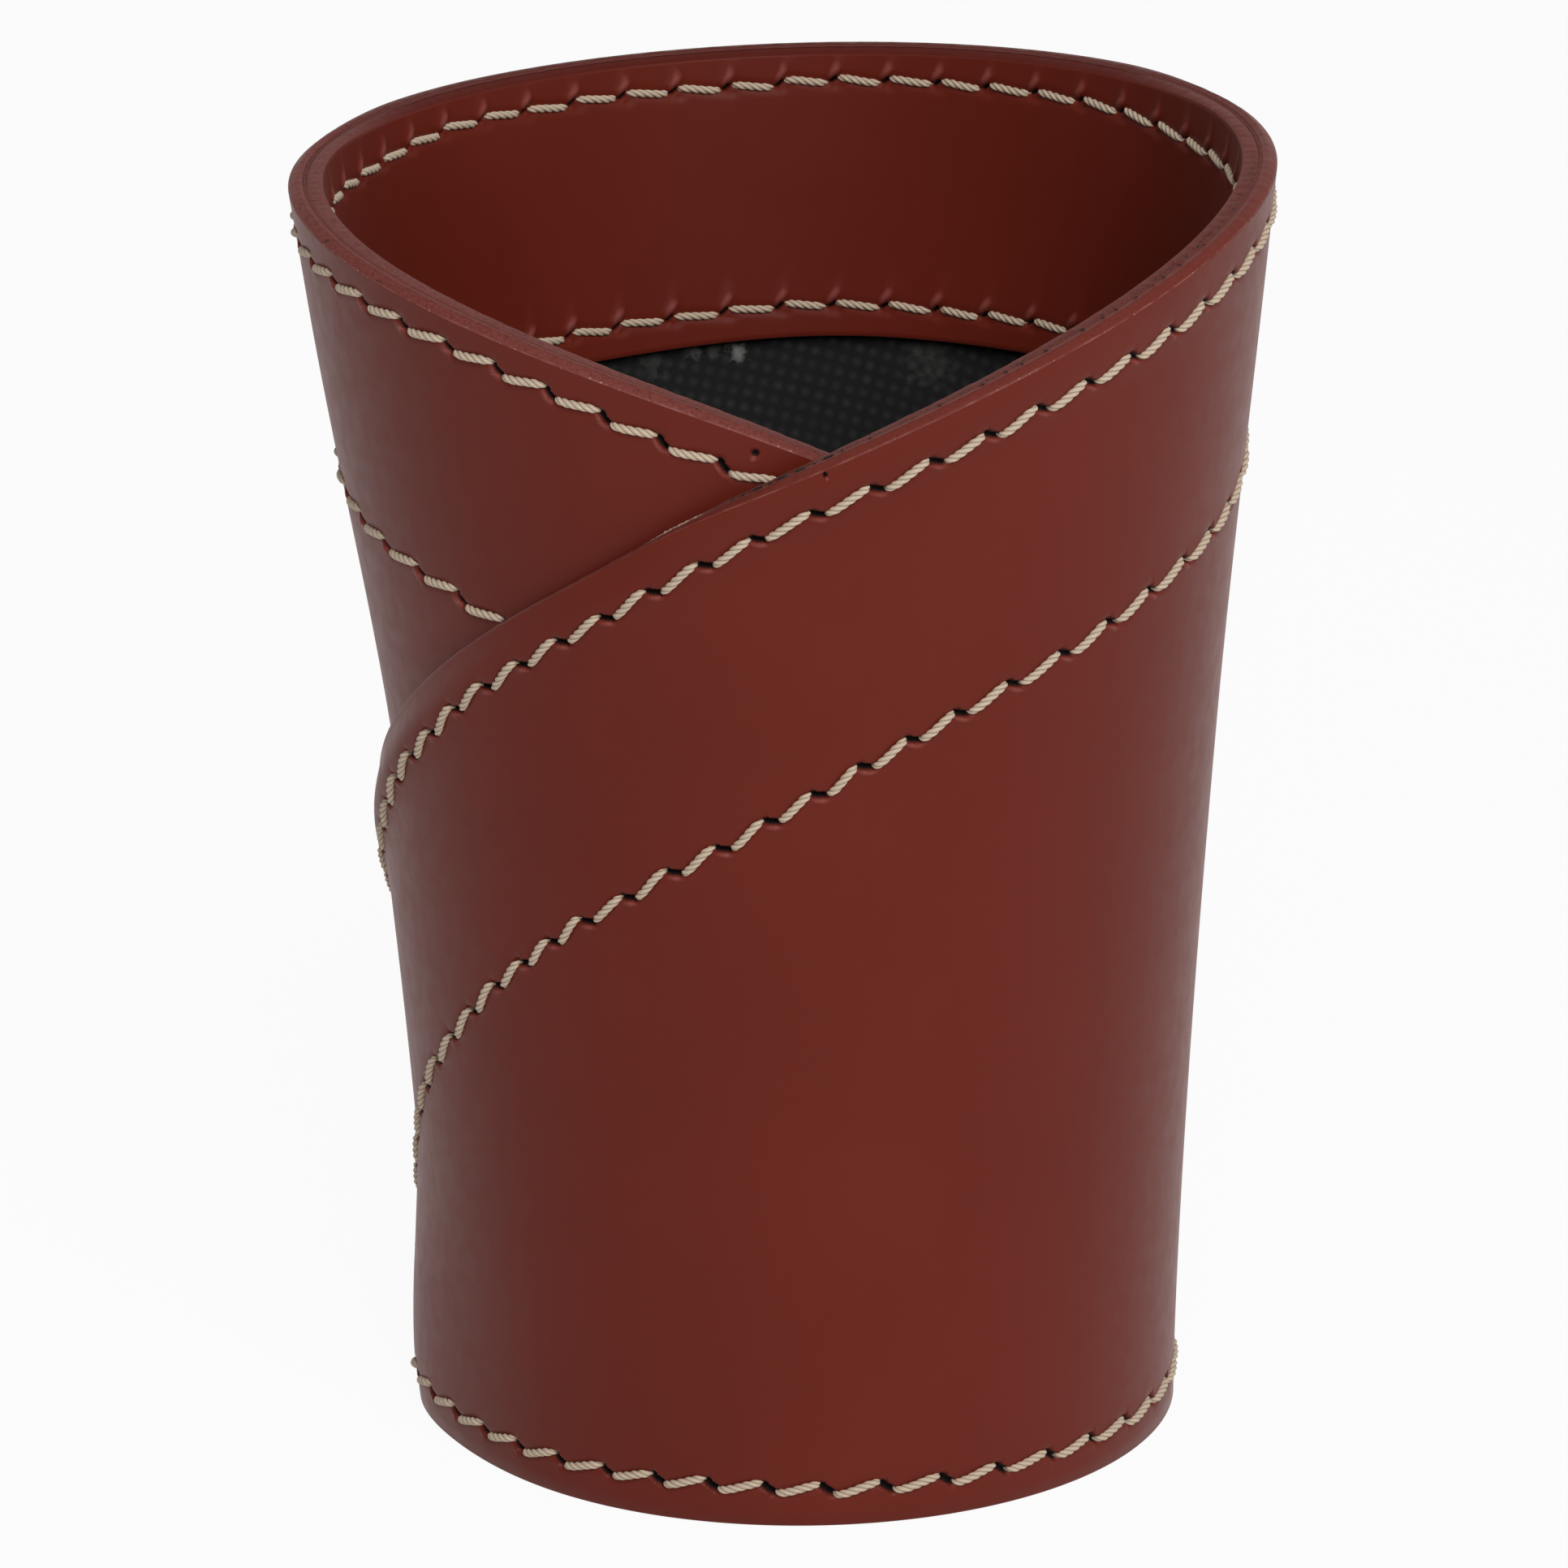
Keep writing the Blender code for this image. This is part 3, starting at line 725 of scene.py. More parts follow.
class Face:
    """Places on one face of a ply: a column for each mark, a row for each level from the edge down."""

    def __init__(self, marks, insets, full_height):
        wide = marks[:, None]
        start = insets[0]
        lowest = FOOT_ZONE if full_height else BAND_FOOT
        room = (edge_height(marks) - lowest) * edge_stretch(marks)[1] * ROOM_SHARE
        reach = np.minimum(1.0, np.maximum(room, start) / insets[-1])[:, None]
        edge_shift = row_inset(EDGE_ROW, wide) - ROW_INSETS[0]
        band_shift = row_inset(BAND_ROW, wide) - ROW_INSETS[1]
        end_share = 0.0 if full_height else 1.0
        edge_share = np.interp(insets, (start, *ROW_INSETS), (0.0, 1.0, 0.0))
        band_share = np.interp(insets, (*ROW_INSETS, ROW_ZONE), (0.0, 1.0, end_share))
        moved = insets + edge_shift * edge_share + band_shift * band_share
        self.marks = marks
        self.inset = start + (moved - start) * reach
        self.angle, self.height = row_place(wide, self.inset)
        self.upper = len(insets)
        if full_height:
            middle = np.linspace(0.0, 1.0, MIDDLE_LEVELS + 1)[1:]
            above = self.height[:, -1:]
            foot = graded(0.0, FOOT_ZONE, [FOOT_ROW[0][1], FOOT_ROW[-1][1]])[::-1][1:-1]
            falling = above + (FOOT_ZONE - above) * middle
            standing = np.broadcast_to(np.append(foot, ARRIS), (len(marks), len(foot) + 1))
            self.height = np.hstack((self.height, falling, standing))
            extra = self.height.shape[1] - self.upper
            self.angle = np.hstack((self.angle, np.repeat(self.angle[:, -1:], extra, axis=1)))

    def relief(self, row_seams, foot_seam=None, pin_holes=()):
        """Height of the face's relief, and its shares of hole and of lip colour, which holds painted sheen."""
        total = np.zeros((3, *self.angle.shape))
        for seam, row in row_seams:
            across = self.inset - row_inset(row, self.marks)[:, None]
            total[:, :, :self.upper] += seam_relief(seam, self.marks, across)
        if foot_seam:
            lower = slice(self.upper + MIDDLE_LEVELS - 1, None)
            angle = self.angle[:, -1]
            across = row_inset(FOOT_ROW, angle)[:, None] - self.height[:, lower]
            total[:, :, lower] += seam_relief(foot_seam, angle, across)
        for mark, inset, radius in pin_holes:
            pin = np.exp(-(self.distance(mark, inset) / radius) ** PIN_POWER)
            lip = np.exp(-(self.distance(mark, inset + 2.0 * radius) / radius) ** 2)
            total += np.stack((-PIN_DEPTH * pin, pin, lip))
        return total

    def distance(self, mark, inset):
        """Distance of each place from one spot on the leather's outer face."""
        angle, height = row_place(mark, inset)
        spot = place(angle, height, ply_radius(angle, height, 0.0))
        points = place(self.angle, self.height, ply_radius(self.angle, self.height, 0.0))
        return np.linalg.norm(points - spot, axis=-1)


def back_share(mark):
    """One round the back, where dark edge paint with painted shade covers the cut edge and its inner corner is
    rounder.
    """
    return 1.0 - rising(np.abs(mark - BLANK_TURN), BACK_RAMP)


def groove_open(mark):
    """How far the groove between the plies is open: wide at the rim's sides, closed along the wings."""
    share = rising(np.abs(mark - BLANK_TURN), GROOVE_RAMP)
    return (1.0 - (1.0 - GROOVE_LEAST) * share) * (1.0 - (1.0 - BACK_GROOVE) * back_share(mark))


def bevel_share(mark):
    """Share of the outer bevel: little round the back and at the outer wing's left end."""
    flap = rising(mark, FLAP_BEVEL_RAMP)
    return (1.0 - (1.0 - BACK_BEVEL) * back_share(mark)) * (1.0 - (1.0 - FLAP_BEVEL) * flap)


def cloth_dash(mark):
    """One where the backing shows as a dash in the right wing's edge, mostly at the crossing."""
    level = waves(mark, DASH_WAVES) + CROSSING_DASH * hump(mark, CROSSING_SPOT)
    return within(mark, DASH_RUN) * smooth_step((level - DASH_LEVEL) / DASH_EDGE)


def cloth_fray(mark):
    """One where pale fibres of the backing stand out of the edge beside the crossing."""
    ragged = FRAY_MEAN + FRAY_SWING * waves(mark, FRAY_WAVES)
    return hump(mark, FRAY_SPOT, FRAY_POWER) * ragged


def cut_corner(corner):
    """Shares of the way up a cut corner, its insets and its depths, from face to edge."""
    drop, depth = corner
    sunk = np.linspace(0.0, 1.0, CORNER_STEPS) ** 2
    risen = (1.0 - (1.0 - sunk) ** CORNER_POWER) ** (1.0 / CORNER_POWER)
    return risen, drop * (1.0 - risen), depth * sunk


Ply = namedtuple("Ply", "depth thickness outer_corner inner_corner bead")
LEATHER_PLY = Ply(0.0, LEATHER, BEVEL, GROOVE_CORNER, 0.0)
BACKING_PLY = Ply(BACKING_FACE, BACKING, CLOTH_CORNER, CLOTH_CORNER, PLY_GAP)
BAND_PLY = Ply(BAND_FACE, BAND, GROOVE_CORNER, INSIDE_CORNER, 0.0)


def corner_scale(corner, marks):
    """Shares of a corner's size that are cut away below the edge and into the ply."""
    plain = np.ones(marks.shape)
    back = back_share(marks)
    if corner is GROOVE_CORNER:
        return groove_open(marks), plain
    if corner is INSIDE_CORNER:
        return 1.0 + BACK_ROUNDING * back, 1.0 + BACK_SLOPE * back
    if corner is BEVEL:
        return bevel_share(marks), plain
    return plain, plain


def cut_edge(ply, marks, recess):
    """Insets, depths and wear over a cut edge: a worn arris is above zero, dark scuffs below."""
    wavy = CUT_WAVE_HEIGHT * waves(marks, CUT_WAVES)[:, None]
    insets = []
    depths = []
    for corner in (ply.outer_corner, ply.inner_corner):
        risen, inset, depth = cut_corner(corner)
        scale, slope = (share[:, None] for share in corner_scale(corner, marks))
        insets.append(recess[:, None] + scale * inset + wavy * risen)
        depths.append(slope * depth - ply.bead)
    inset = np.hstack((insets[0], insets[1][:, ::-1]))
    depth = np.hstack((depths[0], ply.thickness - depths[1][:, ::-1]))
    worn = np.zeros(depth.shape)
    if ply.outer_corner is BEVEL:
        worn[:, 1] = 1.0
    if ply is BAND_PLY:
        worn[:, :SCUFF_ROWS] = -within(marks, SCUFF_RUN)[:, None]
    return inset, depth, worn


def make_ply(name, ply, outer, inner, material, recess=0.0, outer_relief=0.0, inner_relief=0.0, extra=None):
    """A ply of the wrap, lofted from mark to mark through the loop round its two faces."""
    marks = outer.marks
    edge_inset, edge_depth, edge_worn = cut_edge(ply, marks, recess + np.zeros(marks.shape))
    edge_angle, edge_at = row_place(marks[:, None], edge_inset)
    foot = outer.angle[:, [-1, -1]]
    shapes = [part.shape for part in (outer.angle, edge_angle, inner.angle, foot)]

    def loop(*values):
        """Values up the outer face, over the cut edge, down the inner face and under the foot."""
        parts = [np.broadcast_to(value, shape) for value, shape in zip(values, shapes)]
        return np.hstack((parts[0][:, ::-1], *parts[1:]))

    outer_height, outer_hole, outer_lip_and_sheen = np.zeros((3, *shapes[0])) + outer_relief
    inner_height, inner_hole, inner_lip_and_sheen = np.zeros((3, *shapes[2])) + inner_relief
    arris = min(ARRIS, ply.thickness / 3.0)
    angle = loop(outer.angle, edge_angle, inner.angle, foot)
    height = loop(outer.height, edge_at, inner.height, outer.height[:, -1:] - arris)
    sunk = loop(-outer_height, edge_depth, ply.thickness + inner_height, (ply.thickness - arris, arris))
    points = place(angle, height, ply_radius(angle, height, ply.depth + sunk))
    between_faces = np.ones(shapes[1])
    between_faces[:, [0, -1]] = 0.0
    # On the right the cut share is lowered, so the edge takes the darker face colour as painted shade against
    # its sheen
    cut = (1.0 - RIGHT_PAINT_AND_SHADE * rising(marks, RIGHT_RAMP))[:, None] * between_faces
    # Round the back the edge takes the dark edge paint, which holds painted shade
    paint = BACK_PAINT_AND_SHADE * back_share(marks)[:, None] * between_faces
    attributes = {
        "hole": loop(outer_hole, 0.0, inner_hole, 0.0),
        "lip": loop(outer_lip_and_sheen, 0.0, inner_lip_and_sheen, 0.0),
        "cut": loop(0.0, cut, 0.0, 1.0),
        "worn": loop(0.0, edge_worn, 0.0, 0.0),
        "paint": loop(0.0, paint, 0.0, 0.0),
    }
    if extra:
        attributes.update(extra(angle, height))
    return loft(name, points, material, attributes)


def backing_marks(angle, height):
    """Places in the backing's grid of embossed dots, and its painted and frayed edge."""
    arc = np.radians(angle) * (FOOT_RADIUS + RIM_RADIUS) / 2.0
    across = (arc * math.cos(DOT_TURN) - height * math.sin(DOT_TURN)) / DOT_PITCH
    up = (arc * math.sin(DOT_TURN) + height * math.cos(DOT_TURN)) / DOT_PITCH
    at_edge = below_edge(angle, height) < PAINT_REACH
    return {
        "dot_grid": np.stack((across, up, np.zeros(angle.shape)), axis=-1),
        "cut": at_edge * (1.0 - cloth_dash(angle)),
        "fray": at_edge * cloth_fray(angle),
    }


def float_path():
    """Run and lift of a stitch's middle line, as shares of its half length and rise."""
    sweep = np.linspace(-math.pi / 2.0, math.pi / 2.0, FLOAT_SAMPLES)
    run = np.sign(np.sin(sweep)) * np.abs(np.sin(sweep)) ** FLOAT_POWERS[0]
    rise = np.cos(sweep) ** FLOAT_POWERS[1]
    lengths = run_lengths(np.stack((run, rise), axis=-1) * FLOAT_WEIGHTS)
    even = np.linspace(0.0, lengths[-1], FLOAT_RINGS)
    return np.interp(even, lengths, run), np.interp(even, lengths, rise)


def lobes(turn):
    """Outline of a twisted thread as shares of its radius, and its share of groove."""
    sector = 2.0 * math.pi / THREAD_PLIES
    from_ply = (turn + sector / 2.0) % sector - sector / 2.0
    round_ply = np.sqrt((1.0 - PLY_CENTRE) ** 2 - (PLY_CENTRE * np.sin(from_ply)) ** 2)
    outline = PLY_CENTRE * np.cos(from_ply) + round_ply
    return outline, (np.abs(from_ply) / (sector / 2.0)) ** GROOVE_POWER


def make_stitches(name, seam, material):
    """Every float of a row, a length of twisted thread that dives into its holes."""
    run, rise = float_path()
    middles, halves = (values[:, None] for values in seam.floats())
    scatter = np.random.default_rng(STITCH_SEED).normal(0.0, 1.0, (3, len(middles), 1))
    halves = halves + STITCH_SCATTER * scatter[0]
    slant = seam.side.slant * (1.0 + SLANT_SCATTER * scatter[1])
    length = middles + (halves + THREAD_RADIUS * FLOAT_OVERRUN) * run
    across = float_across(run, slant) + STITCH_SCATTER * scatter[2]
    top = THREAD_RADIUS - seam.side.sunk
    lift = top - (1.0 - rise) * (top + THREAD_DIVE) + 0.0 * middles
    centres = seam.at(length, across, lift)
    outward = seam.at(length, across, lift + MM) - centres
    tangent = np.gradient(centres, axis=1)
    tangent /= np.linalg.norm(tangent, axis=-1, keepdims=True)
    side = np.cross(tangent, outward)
    side /= np.linalg.norm(side, axis=-1, keepdims=True)
    up = np.cross(side, tangent)
    steps = np.linalg.norm(np.diff(centres, axis=1), axis=-1)
    arc = np.hstack((np.zeros((len(middles), 1)), np.cumsum(steps, axis=1)))
    around = np.linspace(0.0, 2.0 * math.pi, RING_SIDES, endpoint=False)
    first_turn = (np.arange(len(middles)) * TWIST_STEP)[:, None, None]
    twist = around - 2.0 * math.pi * arc[:, :, None] / THREAD_LEAD + first_turn
    swell, groove = lobes(around + 0.0 * twist)
    taper = 1.0 - THREAD_TAPER * np.abs(run) ** TAPER_POWER
    radius = (THREAD_RADIUS * taper[:, None] * swell)[..., None]
    points = centres[:, :, None, :] + radius * (
        np.cos(twist)[..., None] * side[:, :, None, :] + np.sin(twist)[..., None] * up[:, :, None, :])
    starts = np.arange(len(middles)) * FLOAT_RINGS * RING_SIDES
    tubes = [tube(FLOAT_RINGS, RING_SIDES, start) for start in starts]
    quads = np.concatenate([faces for faces, _ in tubes])
    caps = [cap for _, ends in tubes for cap in ends]
    return mesh_object(name, points.reshape(-1, 3), quads, caps, material, {"groove": groove.ravel()})


def base_ring(height, inset):
    """Ring of points just inside the innermost turn of the sheet."""
    bearing = np.arange(BASE_COLUMNS) * FULL_TURN / BASE_COLUMNS
    angle = bearing - FULL_TURN * np.floor((bearing - TIP_UNDER) / FULL_TURN)
    high = np.full(BASE_COLUMNS, height)
    return place(angle, high, ply_radius(angle, high, SHEET_DEPTH) - BASE_CLEARANCE - inset)


def make_disc_body(name, rings, material):
    """A closed body through rings that start and end at the middle of a disc."""
    points = np.stack([base_ring(height, inset) for height, inset in rings])
    plain = np.zeros(points.shape[:2])
    attributes = {label: plain for label in ("hole", "lip", "cut", "worn", "paint", "fray")}
    attributes["dot_grid"] = points / DOT_PITCH
    return loft(name, points, material, attributes)


# Materials


class Look:
    """Node tree of a material or world, with short ways to add nodes to it."""

    def __init__(self, owner, shader="Principled BSDF"):
        owner.use_nodes = True
        self.owner = owner
        self.tree = owner.node_tree
        self.shader = self.tree.nodes[shader]

    def fill(self, node, inputs):
        for socket, value in inputs.items():
            if isinstance(value, bpy.types.NodeSocket):
                self.tree.links.new(value, node.inputs[socket])
            else:
                node.inputs[socket].default_value = value

    def add(self, kind, inputs, **settings):
        node = self.tree.nodes.new(kind)
        for setting, value in settings.items():
            setattr(node, setting, value)
        self.fill(node, inputs)
        return node

    def places(self):
        return self.add("ShaderNodeTexCoord", {}).outputs["Object"]

    def attribute(self, name, output="Fac"):
        return self.add("ShaderNodeAttribute", {}, attribute_name=name).outputs[output]

    def noise(self, vector, size, detail):
        node = self.add("ShaderNodeTexNoise", {"Vector": vector, "Scale": 1.0 / size, "Detail": detail})
        return node.outputs["Fac"]

    def cells(self, vector, size):
        return self.add("ShaderNodeTexVoronoi", {"Vector": vector, "Scale": 1.0 / size}).outputs["Distance"]

    def ramp(self, value, low, high, first=0.0, last=1.0):
        node = self.add("ShaderNodeMapRange", {
            "Value": value, "From Min": low, "From Max": high, "To Min": first, "To Max": last})
        return node.outputs["Result"]

    def blend(self, share, first, second):
        """Mix of two colours, whose sockets come after those for other kinds of value."""
        node = self.add("ShaderNodeMix", {0: share, 6: first, 7: second}, data_type="RGBA")
        return node.outputs[2]

    def math(self, operation, first, second):
        return self.add("ShaderNodeMath", {0: first, 1: second}, operation=operation).outputs[0]

    def sum(self, first, second):
        return self.math("ADD", first, second)

    def product(self, first, second):
        return self.math("MULTIPLY", first, second)

    def vector(self, operation, *operands, output="Vector"):
        node = self.add("ShaderNodeVectorMath", dict(enumerate(operands)), operation=operation)
        return node.outputs[output]

    def bump(self, height, strength, distance):
        node = self.add("ShaderNodeBump", {"Height": height, "Strength": strength, "Distance": distance})
        return node.outputs["Normal"]

    def finish(self, colour, roughness, normal, **constants):
        self.fill(self.shader, {"Base Color": colour, "Roughness": roughness, "Normal": normal})
        self.fill(self.shader, {name.replace("_", " "): value for name, value in constants.items()})
        return self.owner

    def directly_seen(self):
        """One for rays from the camera, from a mirror or through glass."""
        path = self.add("ShaderNodeLightPath", {})
        seen = path.outputs["Is Camera Ray"]
        for ray in ("Is Glossy Ray", "Is Transmission Ray"):
            seen = self.math("MAXIMUM", seen, path.outputs[ray])
        return seen

    def put_out(self, share, second, output):
        """Mix a share of a second shader into the first, as the tree's surface."""
        mixed = self.add("ShaderNodeMixShader", {0: share, 1: self.shader.outputs[0], 2: second.outputs[0]})
        self.tree.links.new(mixed.outputs[0], self.tree.nodes[output].inputs["Surface"])


def leather_look(name, cut_dark_with_top_light, cut_light_with_top_light, roughness, specular, sheen):
    """Satin bonded leather with a painted cut edge, a worn arris and stitch holes; painted shade darkens the
    holes and the rim's edge, painted sheen lightens the lips, and painted top light lightens the cut.
    """
    look = Look(bpy.data.materials.new(name))
    places = look.places()
    tone = look.noise(places, TONE_SIZE, 2.0)
    mottle = look.noise(places, MOTTLE_SIZE, 4.0)
    grain = look.cells(places, GRAIN_SIZE)
    fibre = look.noise(places, LEATHER_FIBRE, 3.0)
    speck = look.noise(places, SPECK_SIZE, 1.0)
    hole, lip, cut, worn, paint = map(look.attribute, ("hole", "lip", "cut", "worn", "paint"))
    face = look.blend(look.ramp(tone, 0.35, 0.65), LEATHER_DARK, LEATHER_LIGHT)
    face = look.blend(look.ramp(mottle, *NOISE_SPAN, 0.0, 0.35), face, LEATHER_LIGHT)
    # Lips beside the holes: partly raised grain, partly painted sheen
    face = look.blend(look.ramp(lip, 0.25, 0.9, 0.0, 0.85), face, LIP_AND_SHEEN_COLOUR)
    # The cut colours hold painted top light
    edge = look.blend(look.ramp(fibre, 0.35, 0.62), cut_dark_with_top_light, cut_light_with_top_light)
    edge = look.blend(look.ramp(speck, 0.70, 0.74, 0.0, 0.8), edge, HOLE_SHADE_AND_SPECK_COLOUR)
    colour = look.blend(cut, face, edge)
    # Dark edge paint round the back, with painted shade on the rim's top
    colour = look.blend(paint, colour, RIM_PAINT_AND_SHADE_COLOUR)
    arris = look.ramp(worn, 0.0, 1.0)
    scuff = look.ramp(worn, -1.0, 0.0, 1.0, 0.0)
    for share, patches, tint in (
            (arris, look.ramp(mottle, 0.40, 0.62, 0.05, 0.8), WORN_COLOUR),
            (arris, look.ramp(fibre, 0.66, 0.70, 0.0, 0.9), CHAFED_COLOUR),
            (scuff, look.ramp(fibre, 0.53, 0.60, 0.0, 0.9), SCUFF_COLOUR)):
        colour = look.blend(look.product(share, patches), colour, tint)
    # Painted shade in the holes
    colour = look.blend(look.ramp(hole, 0.12, 0.5), colour, HOLE_SHADE_AND_SPECK_COLOUR)
    rough = look.ramp(mottle, *NOISE_SPAN, roughness - 0.04, roughness + 0.04)
    rough = look.sum(rough, look.ramp(cut, 0.0, 1.0, 0.0, 0.16))
    rough = look.sum(rough, look.ramp(hole, 0.1, 0.5, 0.0, 0.4))
    fine = look.sum(look.ramp(grain, 0.0, 0.6, 0.0, 0.5), look.ramp(fibre, *NOISE_SPAN, 0.0, 0.5))
    normal = look.bump(fine, 0.12, LEATHER_BUMP)
    return look.finish(
        colour, rough, normal, Specular_IOR_Level=specular,
        Sheen_Weight=sheen, Sheen_Roughness=SHEEN_ROUGHNESS, Sheen_Tint=SHEEN_COLOUR)


def fabric_look(name):
    """Black spunbond fabric with a grid of soft embossed dots and a painted cut edge."""
    look = Look(bpy.data.materials.new(name))
    cell = look.vector("FRACTION", look.attribute("dot_grid", "Vector"))
    centred = look.vector("SUBTRACT", cell, DOT_MIDDLE)
    gap = look.vector("LENGTH", look.vector("MULTIPLY", centred, DOT_PLANE), output="Value")
    places = look.places()
    fibres = look.noise(places, FABRIC_FIBRE, 3.0)
    uneven = look.noise(places, FABRIC_PATCH, 3.0)
    clump = look.noise(places, GLUE_CLUMP, 2.0)
    dot = look.ramp(gap, 0.06, 0.44, 1.0, 0.0)
    shown = look.product(dot, look.ramp(uneven, *NOISE_SPAN, 0.4, 1.0))
    shown = look.product(shown, look.ramp(fibres, *NOISE_SPAN, 0.55, 1.0))
    colour = look.blend(shown, FABRIC_DARK, FABRIC_DOT)
    for *lengths, strength in GLUE_SPOTS:
        *centre, radius = (length * MM for length in lengths)
        away = look.vector("DISTANCE", places, centre, output="Value")
        away = look.sum(away, look.ramp(clump, *NOISE_SPAN, -0.4 * radius, 0.5 * radius))
        smear = look.ramp(away, 0.2 * radius, radius, strength, 0.0)
        smear = look.product(smear, look.ramp(uneven, 0.3, 0.6, 0.4, 1.0))
        colour = look.blend(smear, colour, GLUE_COLOUR)
    colour = look.blend(look.attribute("cut"), colour, PAINT_COLOUR)
    frayed = look.product(look.attribute("fray"), look.ramp(fibres, 0.35, 0.5, 0.2, 1.0))
    colour = look.blend(frayed, colour, FRAY_COLOUR)
    height = look.sum(look.ramp(dot, 0.0, 1.0, 1.0, 0.0), look.ramp(fibres, *NOISE_SPAN, 0.0, 0.5))
    rough = look.ramp(shown, 0.0, 1.0, 0.92, 0.75)
    return look.finish(colour, rough, look.bump(height, 0.5, FABRIC_BUMP), Specular_IOR_Level=0.4)


def thread_look():
    """Twisted cream thread, with painted shade in the grooves between its plies."""
    look = Look(bpy.data.materials.new("cream_thread"))
    fibre = look.noise(look.places(), THREAD_FIBRE, 3.0)
    groove = look.ramp(look.attribute("groove"), 0.2, 1.0, 0.0, 0.75)
    shade = look.sum(groove, look.ramp(fibre, *NOISE_SPAN, 0.0, 0.25))
    colour = look.blend(shade, THREAD_LIGHT, THREAD_GROOVE_SHADE)
    rough = look.ramp(fibre, *NOISE_SPAN, 0.62, 0.78)
    return look.finish(colour, rough, look.bump(fibre, 0.35, THREAD_BUMP), Sheen_Weight=0.15)


def board_look():
    """Grey board with loose fibres."""
    look = Look(bpy.data.materials.new("grey_board"))
    fibre = look.noise(look.places(), BOARD_FIBRE, 5.0)
    colour = look.blend(look.ramp(fibre, *NOISE_SPAN), BOARD_DARK, BOARD_LIGHT)
    rough = look.ramp(fibre, *NOISE_SPAN, 0.88, 0.98)
    return look.finish(colour, rough, look.bump(fibre, 0.3, BOARD_BUMP))


# Pieces


def build_leather(seams):
    marks = column_marks(-FRONT - OUTSIDE_MARGIN, TIP_OVER)
    close = [*ROW_INSETS, *[inset for _, inset, _ in PIN_HOLES]]
    outer = Face(marks, graded(BEVEL[0], ROW_ZONE, close), True)
    inner = Face(marks, np.linspace(GROOVE_CORNER[0], ROW_ZONE, PLAIN_LEVELS), True)
    rows = [(seams["edge_seam_needle"], EDGE_ROW), (seams["band_seam_needle"], BAND_ROW)]
    relief = outer.relief(rows, seams["foot_seam_needle"], PIN_HOLES)
    look = leather_look("wrap_leather", CUT_DARK_WITH_TOP_LIGHT, CUT_LIGHT_WITH_TOP_LIGHT, roughness=0.45, specular=0.15, sheen=0.1)
    wrap = make_ply("leather_wrap_sheet", LEATHER_PLY, outer, inner, look, outer_relief=relief)
    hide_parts("leather_wrap")
    return wrap


def build_backing(wrap):
    marks = column_marks(TIP_UNDER, TIP_OVER)
    cloth = Face(marks, np.linspace(BACKING_RECESS + CLOTH_CORNER[0], ROW_ZONE, PLAIN_LEVELS), True)
    dash = cloth_dash(marks)
    recess = BACKING_RECESS * groove_open(marks) * (1.0 - dash) - DASH_HEIGHT * dash
    recess = recess - FRAY_HEIGHT * cloth_fray(marks)
    look = fabric_look("backing_fabric")
    lining = make_ply("backing_sheet", BACKING_PLY, cloth, cloth, look, recess=recess, extra=backing_marks)
    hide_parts("fabric_backing")


def build_band(seams):
    marks = column_marks(TIP_UNDER, FRONT + INSIDE_MARGIN)
    marks = marks[edge_height(marks) > BAND_FOOT + BAND_TIP_HEIGHT]
    glued = Face(marks, np.linspace(GROOVE_CORNER[0] + BAND_RECESS, BAND_WIDTH, GLUED_LEVELS), False)
    shown = Face(marks, graded(INSIDE_CORNER_REACH + BAND_RECESS, BAND_WIDTH, ROW_INSETS), False)
    relief = shown.relief([(seams["edge_seam_bobbin"], EDGE_ROW), (seams["band_seam_bobbin"], BAND_ROW)])
    look = leather_look(
        "band_leather", BAND_CUT_DARK_WITH_TOP_LIGHT, BAND_CUT_LIGHT_WITH_TOP_LIGHT, roughness=0.47, specular=0.1, sheen=0.04)
    band = make_ply(
        "facing_band_strip", BAND_PLY, glued, shown, look, recess=BAND_RECESS, inner_relief=relief)
    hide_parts("facing_band")


def build_cap():
    outer_drop, outer_inset = CAP_OUTER_CORNER
    inner_drop, inner_inset = CAP_INNER_CORNER
    rings = [
        (FLANGE_HEIGHT, CAP_REACH), (FLANGE_HEIGHT, BASE_LEATHER + CAP_BEND),
        (FLANGE_HEIGHT - inner_drop, BASE_LEATHER + inner_inset), (FLANGE_HEIGHT - CAP_BEND, BASE_LEATHER),
        (ARRIS, BASE_LEATHER), (0.0, BASE_LEATHER - ARRIS), (0.0, ARRIS), (ARRIS, 0.0),
        (CAP_TOP - CAP_BEND, 0.0), (CAP_TOP - outer_drop, outer_inset),
        (CAP_TOP, CAP_BEND), (CAP_TOP, CAP_REACH)]
    look = leather_look("base_leather", CUT_DARK_WITH_TOP_LIGHT, CUT_LIGHT_WITH_TOP_LIGHT, roughness=0.5, specular=0.15, sheen=0.1)
    cap = make_disc_body("base_cap_leather", rings, look)
    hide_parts("base_cap")


def build_board():
    rings = [
        (BOARD_BOTTOM, DISC_REACH), (BOARD_BOTTOM, BOARD_INSET + ARRIS), (BOARD_BOTTOM + ARRIS, BOARD_INSET),
        (BOARD_TOP - ARRIS, BOARD_INSET), (BOARD_TOP, BOARD_INSET + ARRIS), (BOARD_TOP, DISC_REACH)]
    board = make_disc_body("base_board_disc", rings, board_look())
    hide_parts("base_board")
    return board


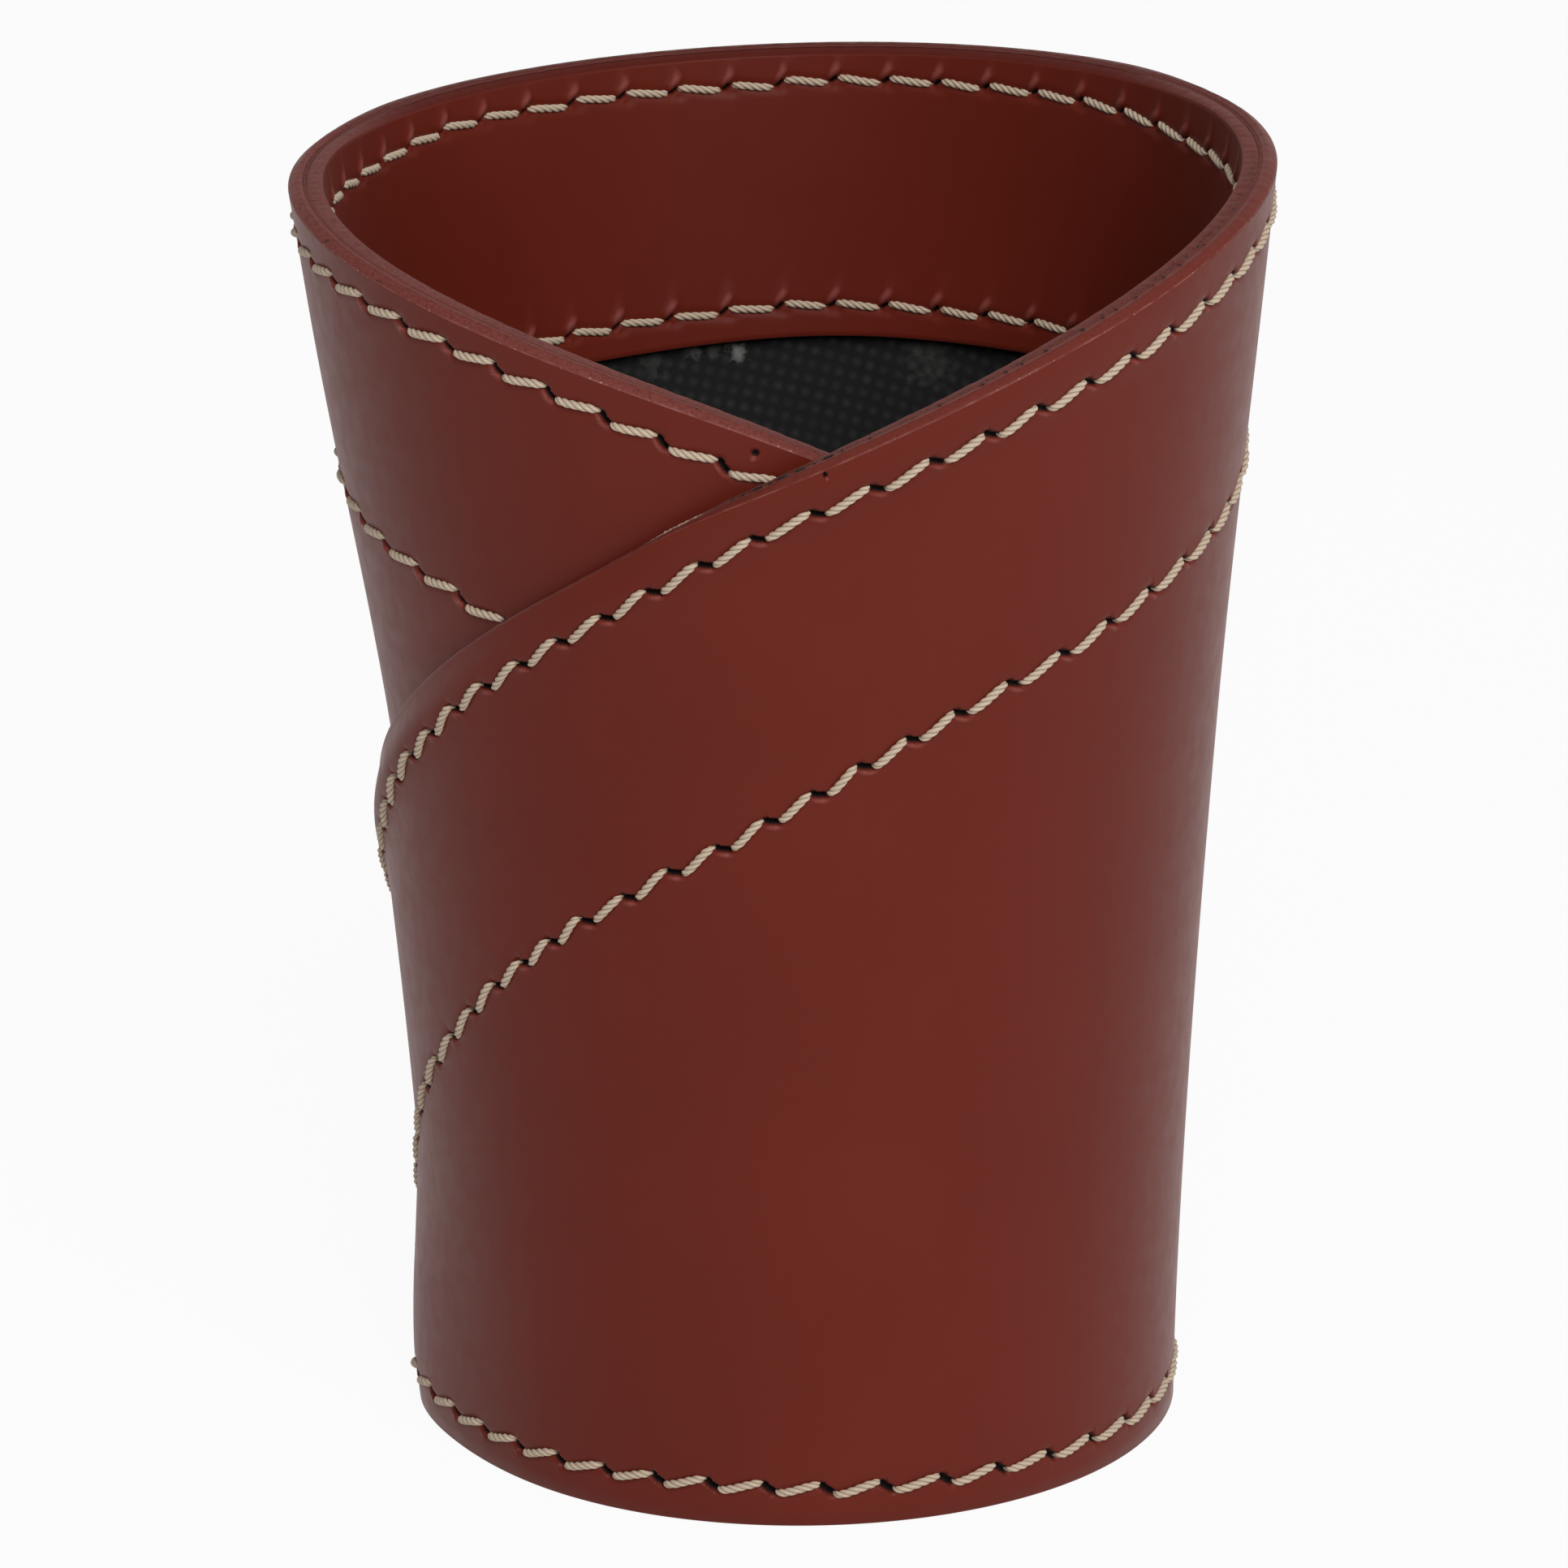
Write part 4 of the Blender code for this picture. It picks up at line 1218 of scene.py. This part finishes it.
def build_floor_lining(board):
    rings = [
        (LINING_BOTTOM, DISC_REACH), (LINING_BOTTOM, ARRIS / 2.0), (LINING_BOTTOM + FLOOR_LINING / 2.0, 0.0),
        (FLOOR_TOP, ARRIS / 2.0), (FLOOR_TOP, DISC_REACH)]
    floor = make_disc_body("floor_lining_disc", rings, fabric_look("floor_fabric"))
    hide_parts("floor_lining")


def build_threads(seams):
    thread = thread_look()
    for row, seam in seams.items():
        stitches = make_stitches(f"{row}_stitches", seam, thread)
        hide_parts(f"{row}_thread")


# Stage


def build_stage():
    look = Look(bpy.data.materials.new("pale_floor"))
    look.fill(look.shader, {"Base Color": FLOOR_COLOUR, "Roughness": FLOOR_ROUGHNESS})
    glow = look.add("ShaderNodeEmission", {"Color": WHITE, "Strength": 1.0})
    look.put_out(look.product(look.directly_seen(), FLOOR_GLOW), glow, "Material Output")
    signs = ((-1.0, -1.0), (1.0, -1.0), (1.0, 1.0), (-1.0, 1.0))
    corners = [(x * FLOOR_REACH, y * FLOOR_REACH, FLOOR_LEVEL) for x, y in signs]
    mesh = bpy.data.meshes.new("floor")
    mesh.from_pydata(corners, [], [(0, 1, 2, 3)])
    mesh.materials.append(look.owner)
    floor = add_object("floor", mesh)


def build_world():
    world = bpy.data.worlds.new("studio")
    look = Look(world, "Background")
    look.fill(look.shader, {"Color": WHITE, "Strength": AMBIENT})
    backdrop = look.add("ShaderNodeBackground", {})
    look.put_out(look.directly_seen(), backdrop, "World Output")
    bpy.context.scene.world = world


def add_softbox(name, location, size, power):
    light = bpy.data.lights.new(name, "AREA")
    light.shape = "DISK"
    light.size = size
    light.energy = power
    lamp = add_object(name, light)
    lamp.location = location
    towards = Vector((0.0, 0.0, CUP_HEIGHT / 2.0)) - lamp.location
    lamp.rotation_euler = towards.to_track_quat("-Z", "Y").to_euler()


def build_camera():
    data = bpy.data.cameras.new("camera")
    data.sensor_width = SENSOR
    data.lens = SENSOR * FOCAL_PIXELS / FRAME_PIXELS
    data.clip_end = CLIP_END
    forward = np.array((
        math.sin(CAMERA_YAW) * math.cos(CAMERA_PITCH),
        math.cos(CAMERA_YAW) * math.cos(CAMERA_PITCH),
        -math.sin(CAMERA_PITCH)))
    level = np.array((math.cos(CAMERA_YAW), -math.sin(CAMERA_YAW), 0.0))
    plumb = np.cross(level, forward)
    right = math.cos(CAMERA_ROLL) * level + math.sin(CAMERA_ROLL) * plumb
    up = -math.sin(CAMERA_ROLL) * level + math.cos(CAMERA_ROLL) * plumb
    location = (FOOT_CENTRE[0], FOOT_CENTRE[1] - CAMERA_BACK, CAMERA_HEIGHT)
    camera = add_object("camera", data)
    camera.matrix_world = Matrix((*zip(right, up, -forward, location), (0.0, 0.0, 0.0, 1.0)))
    bpy.context.scene.camera = camera


seams = make_seams()
build_backing(build_leather(seams))
build_band(seams)
build_cap()
build_floor_lining(build_board())
build_threads(seams)
build_stage()
build_world()
for softbox in SOFTBOXES:
    add_softbox(*softbox)
build_camera()
bpy.context.scene.view_settings.view_transform = "Standard"
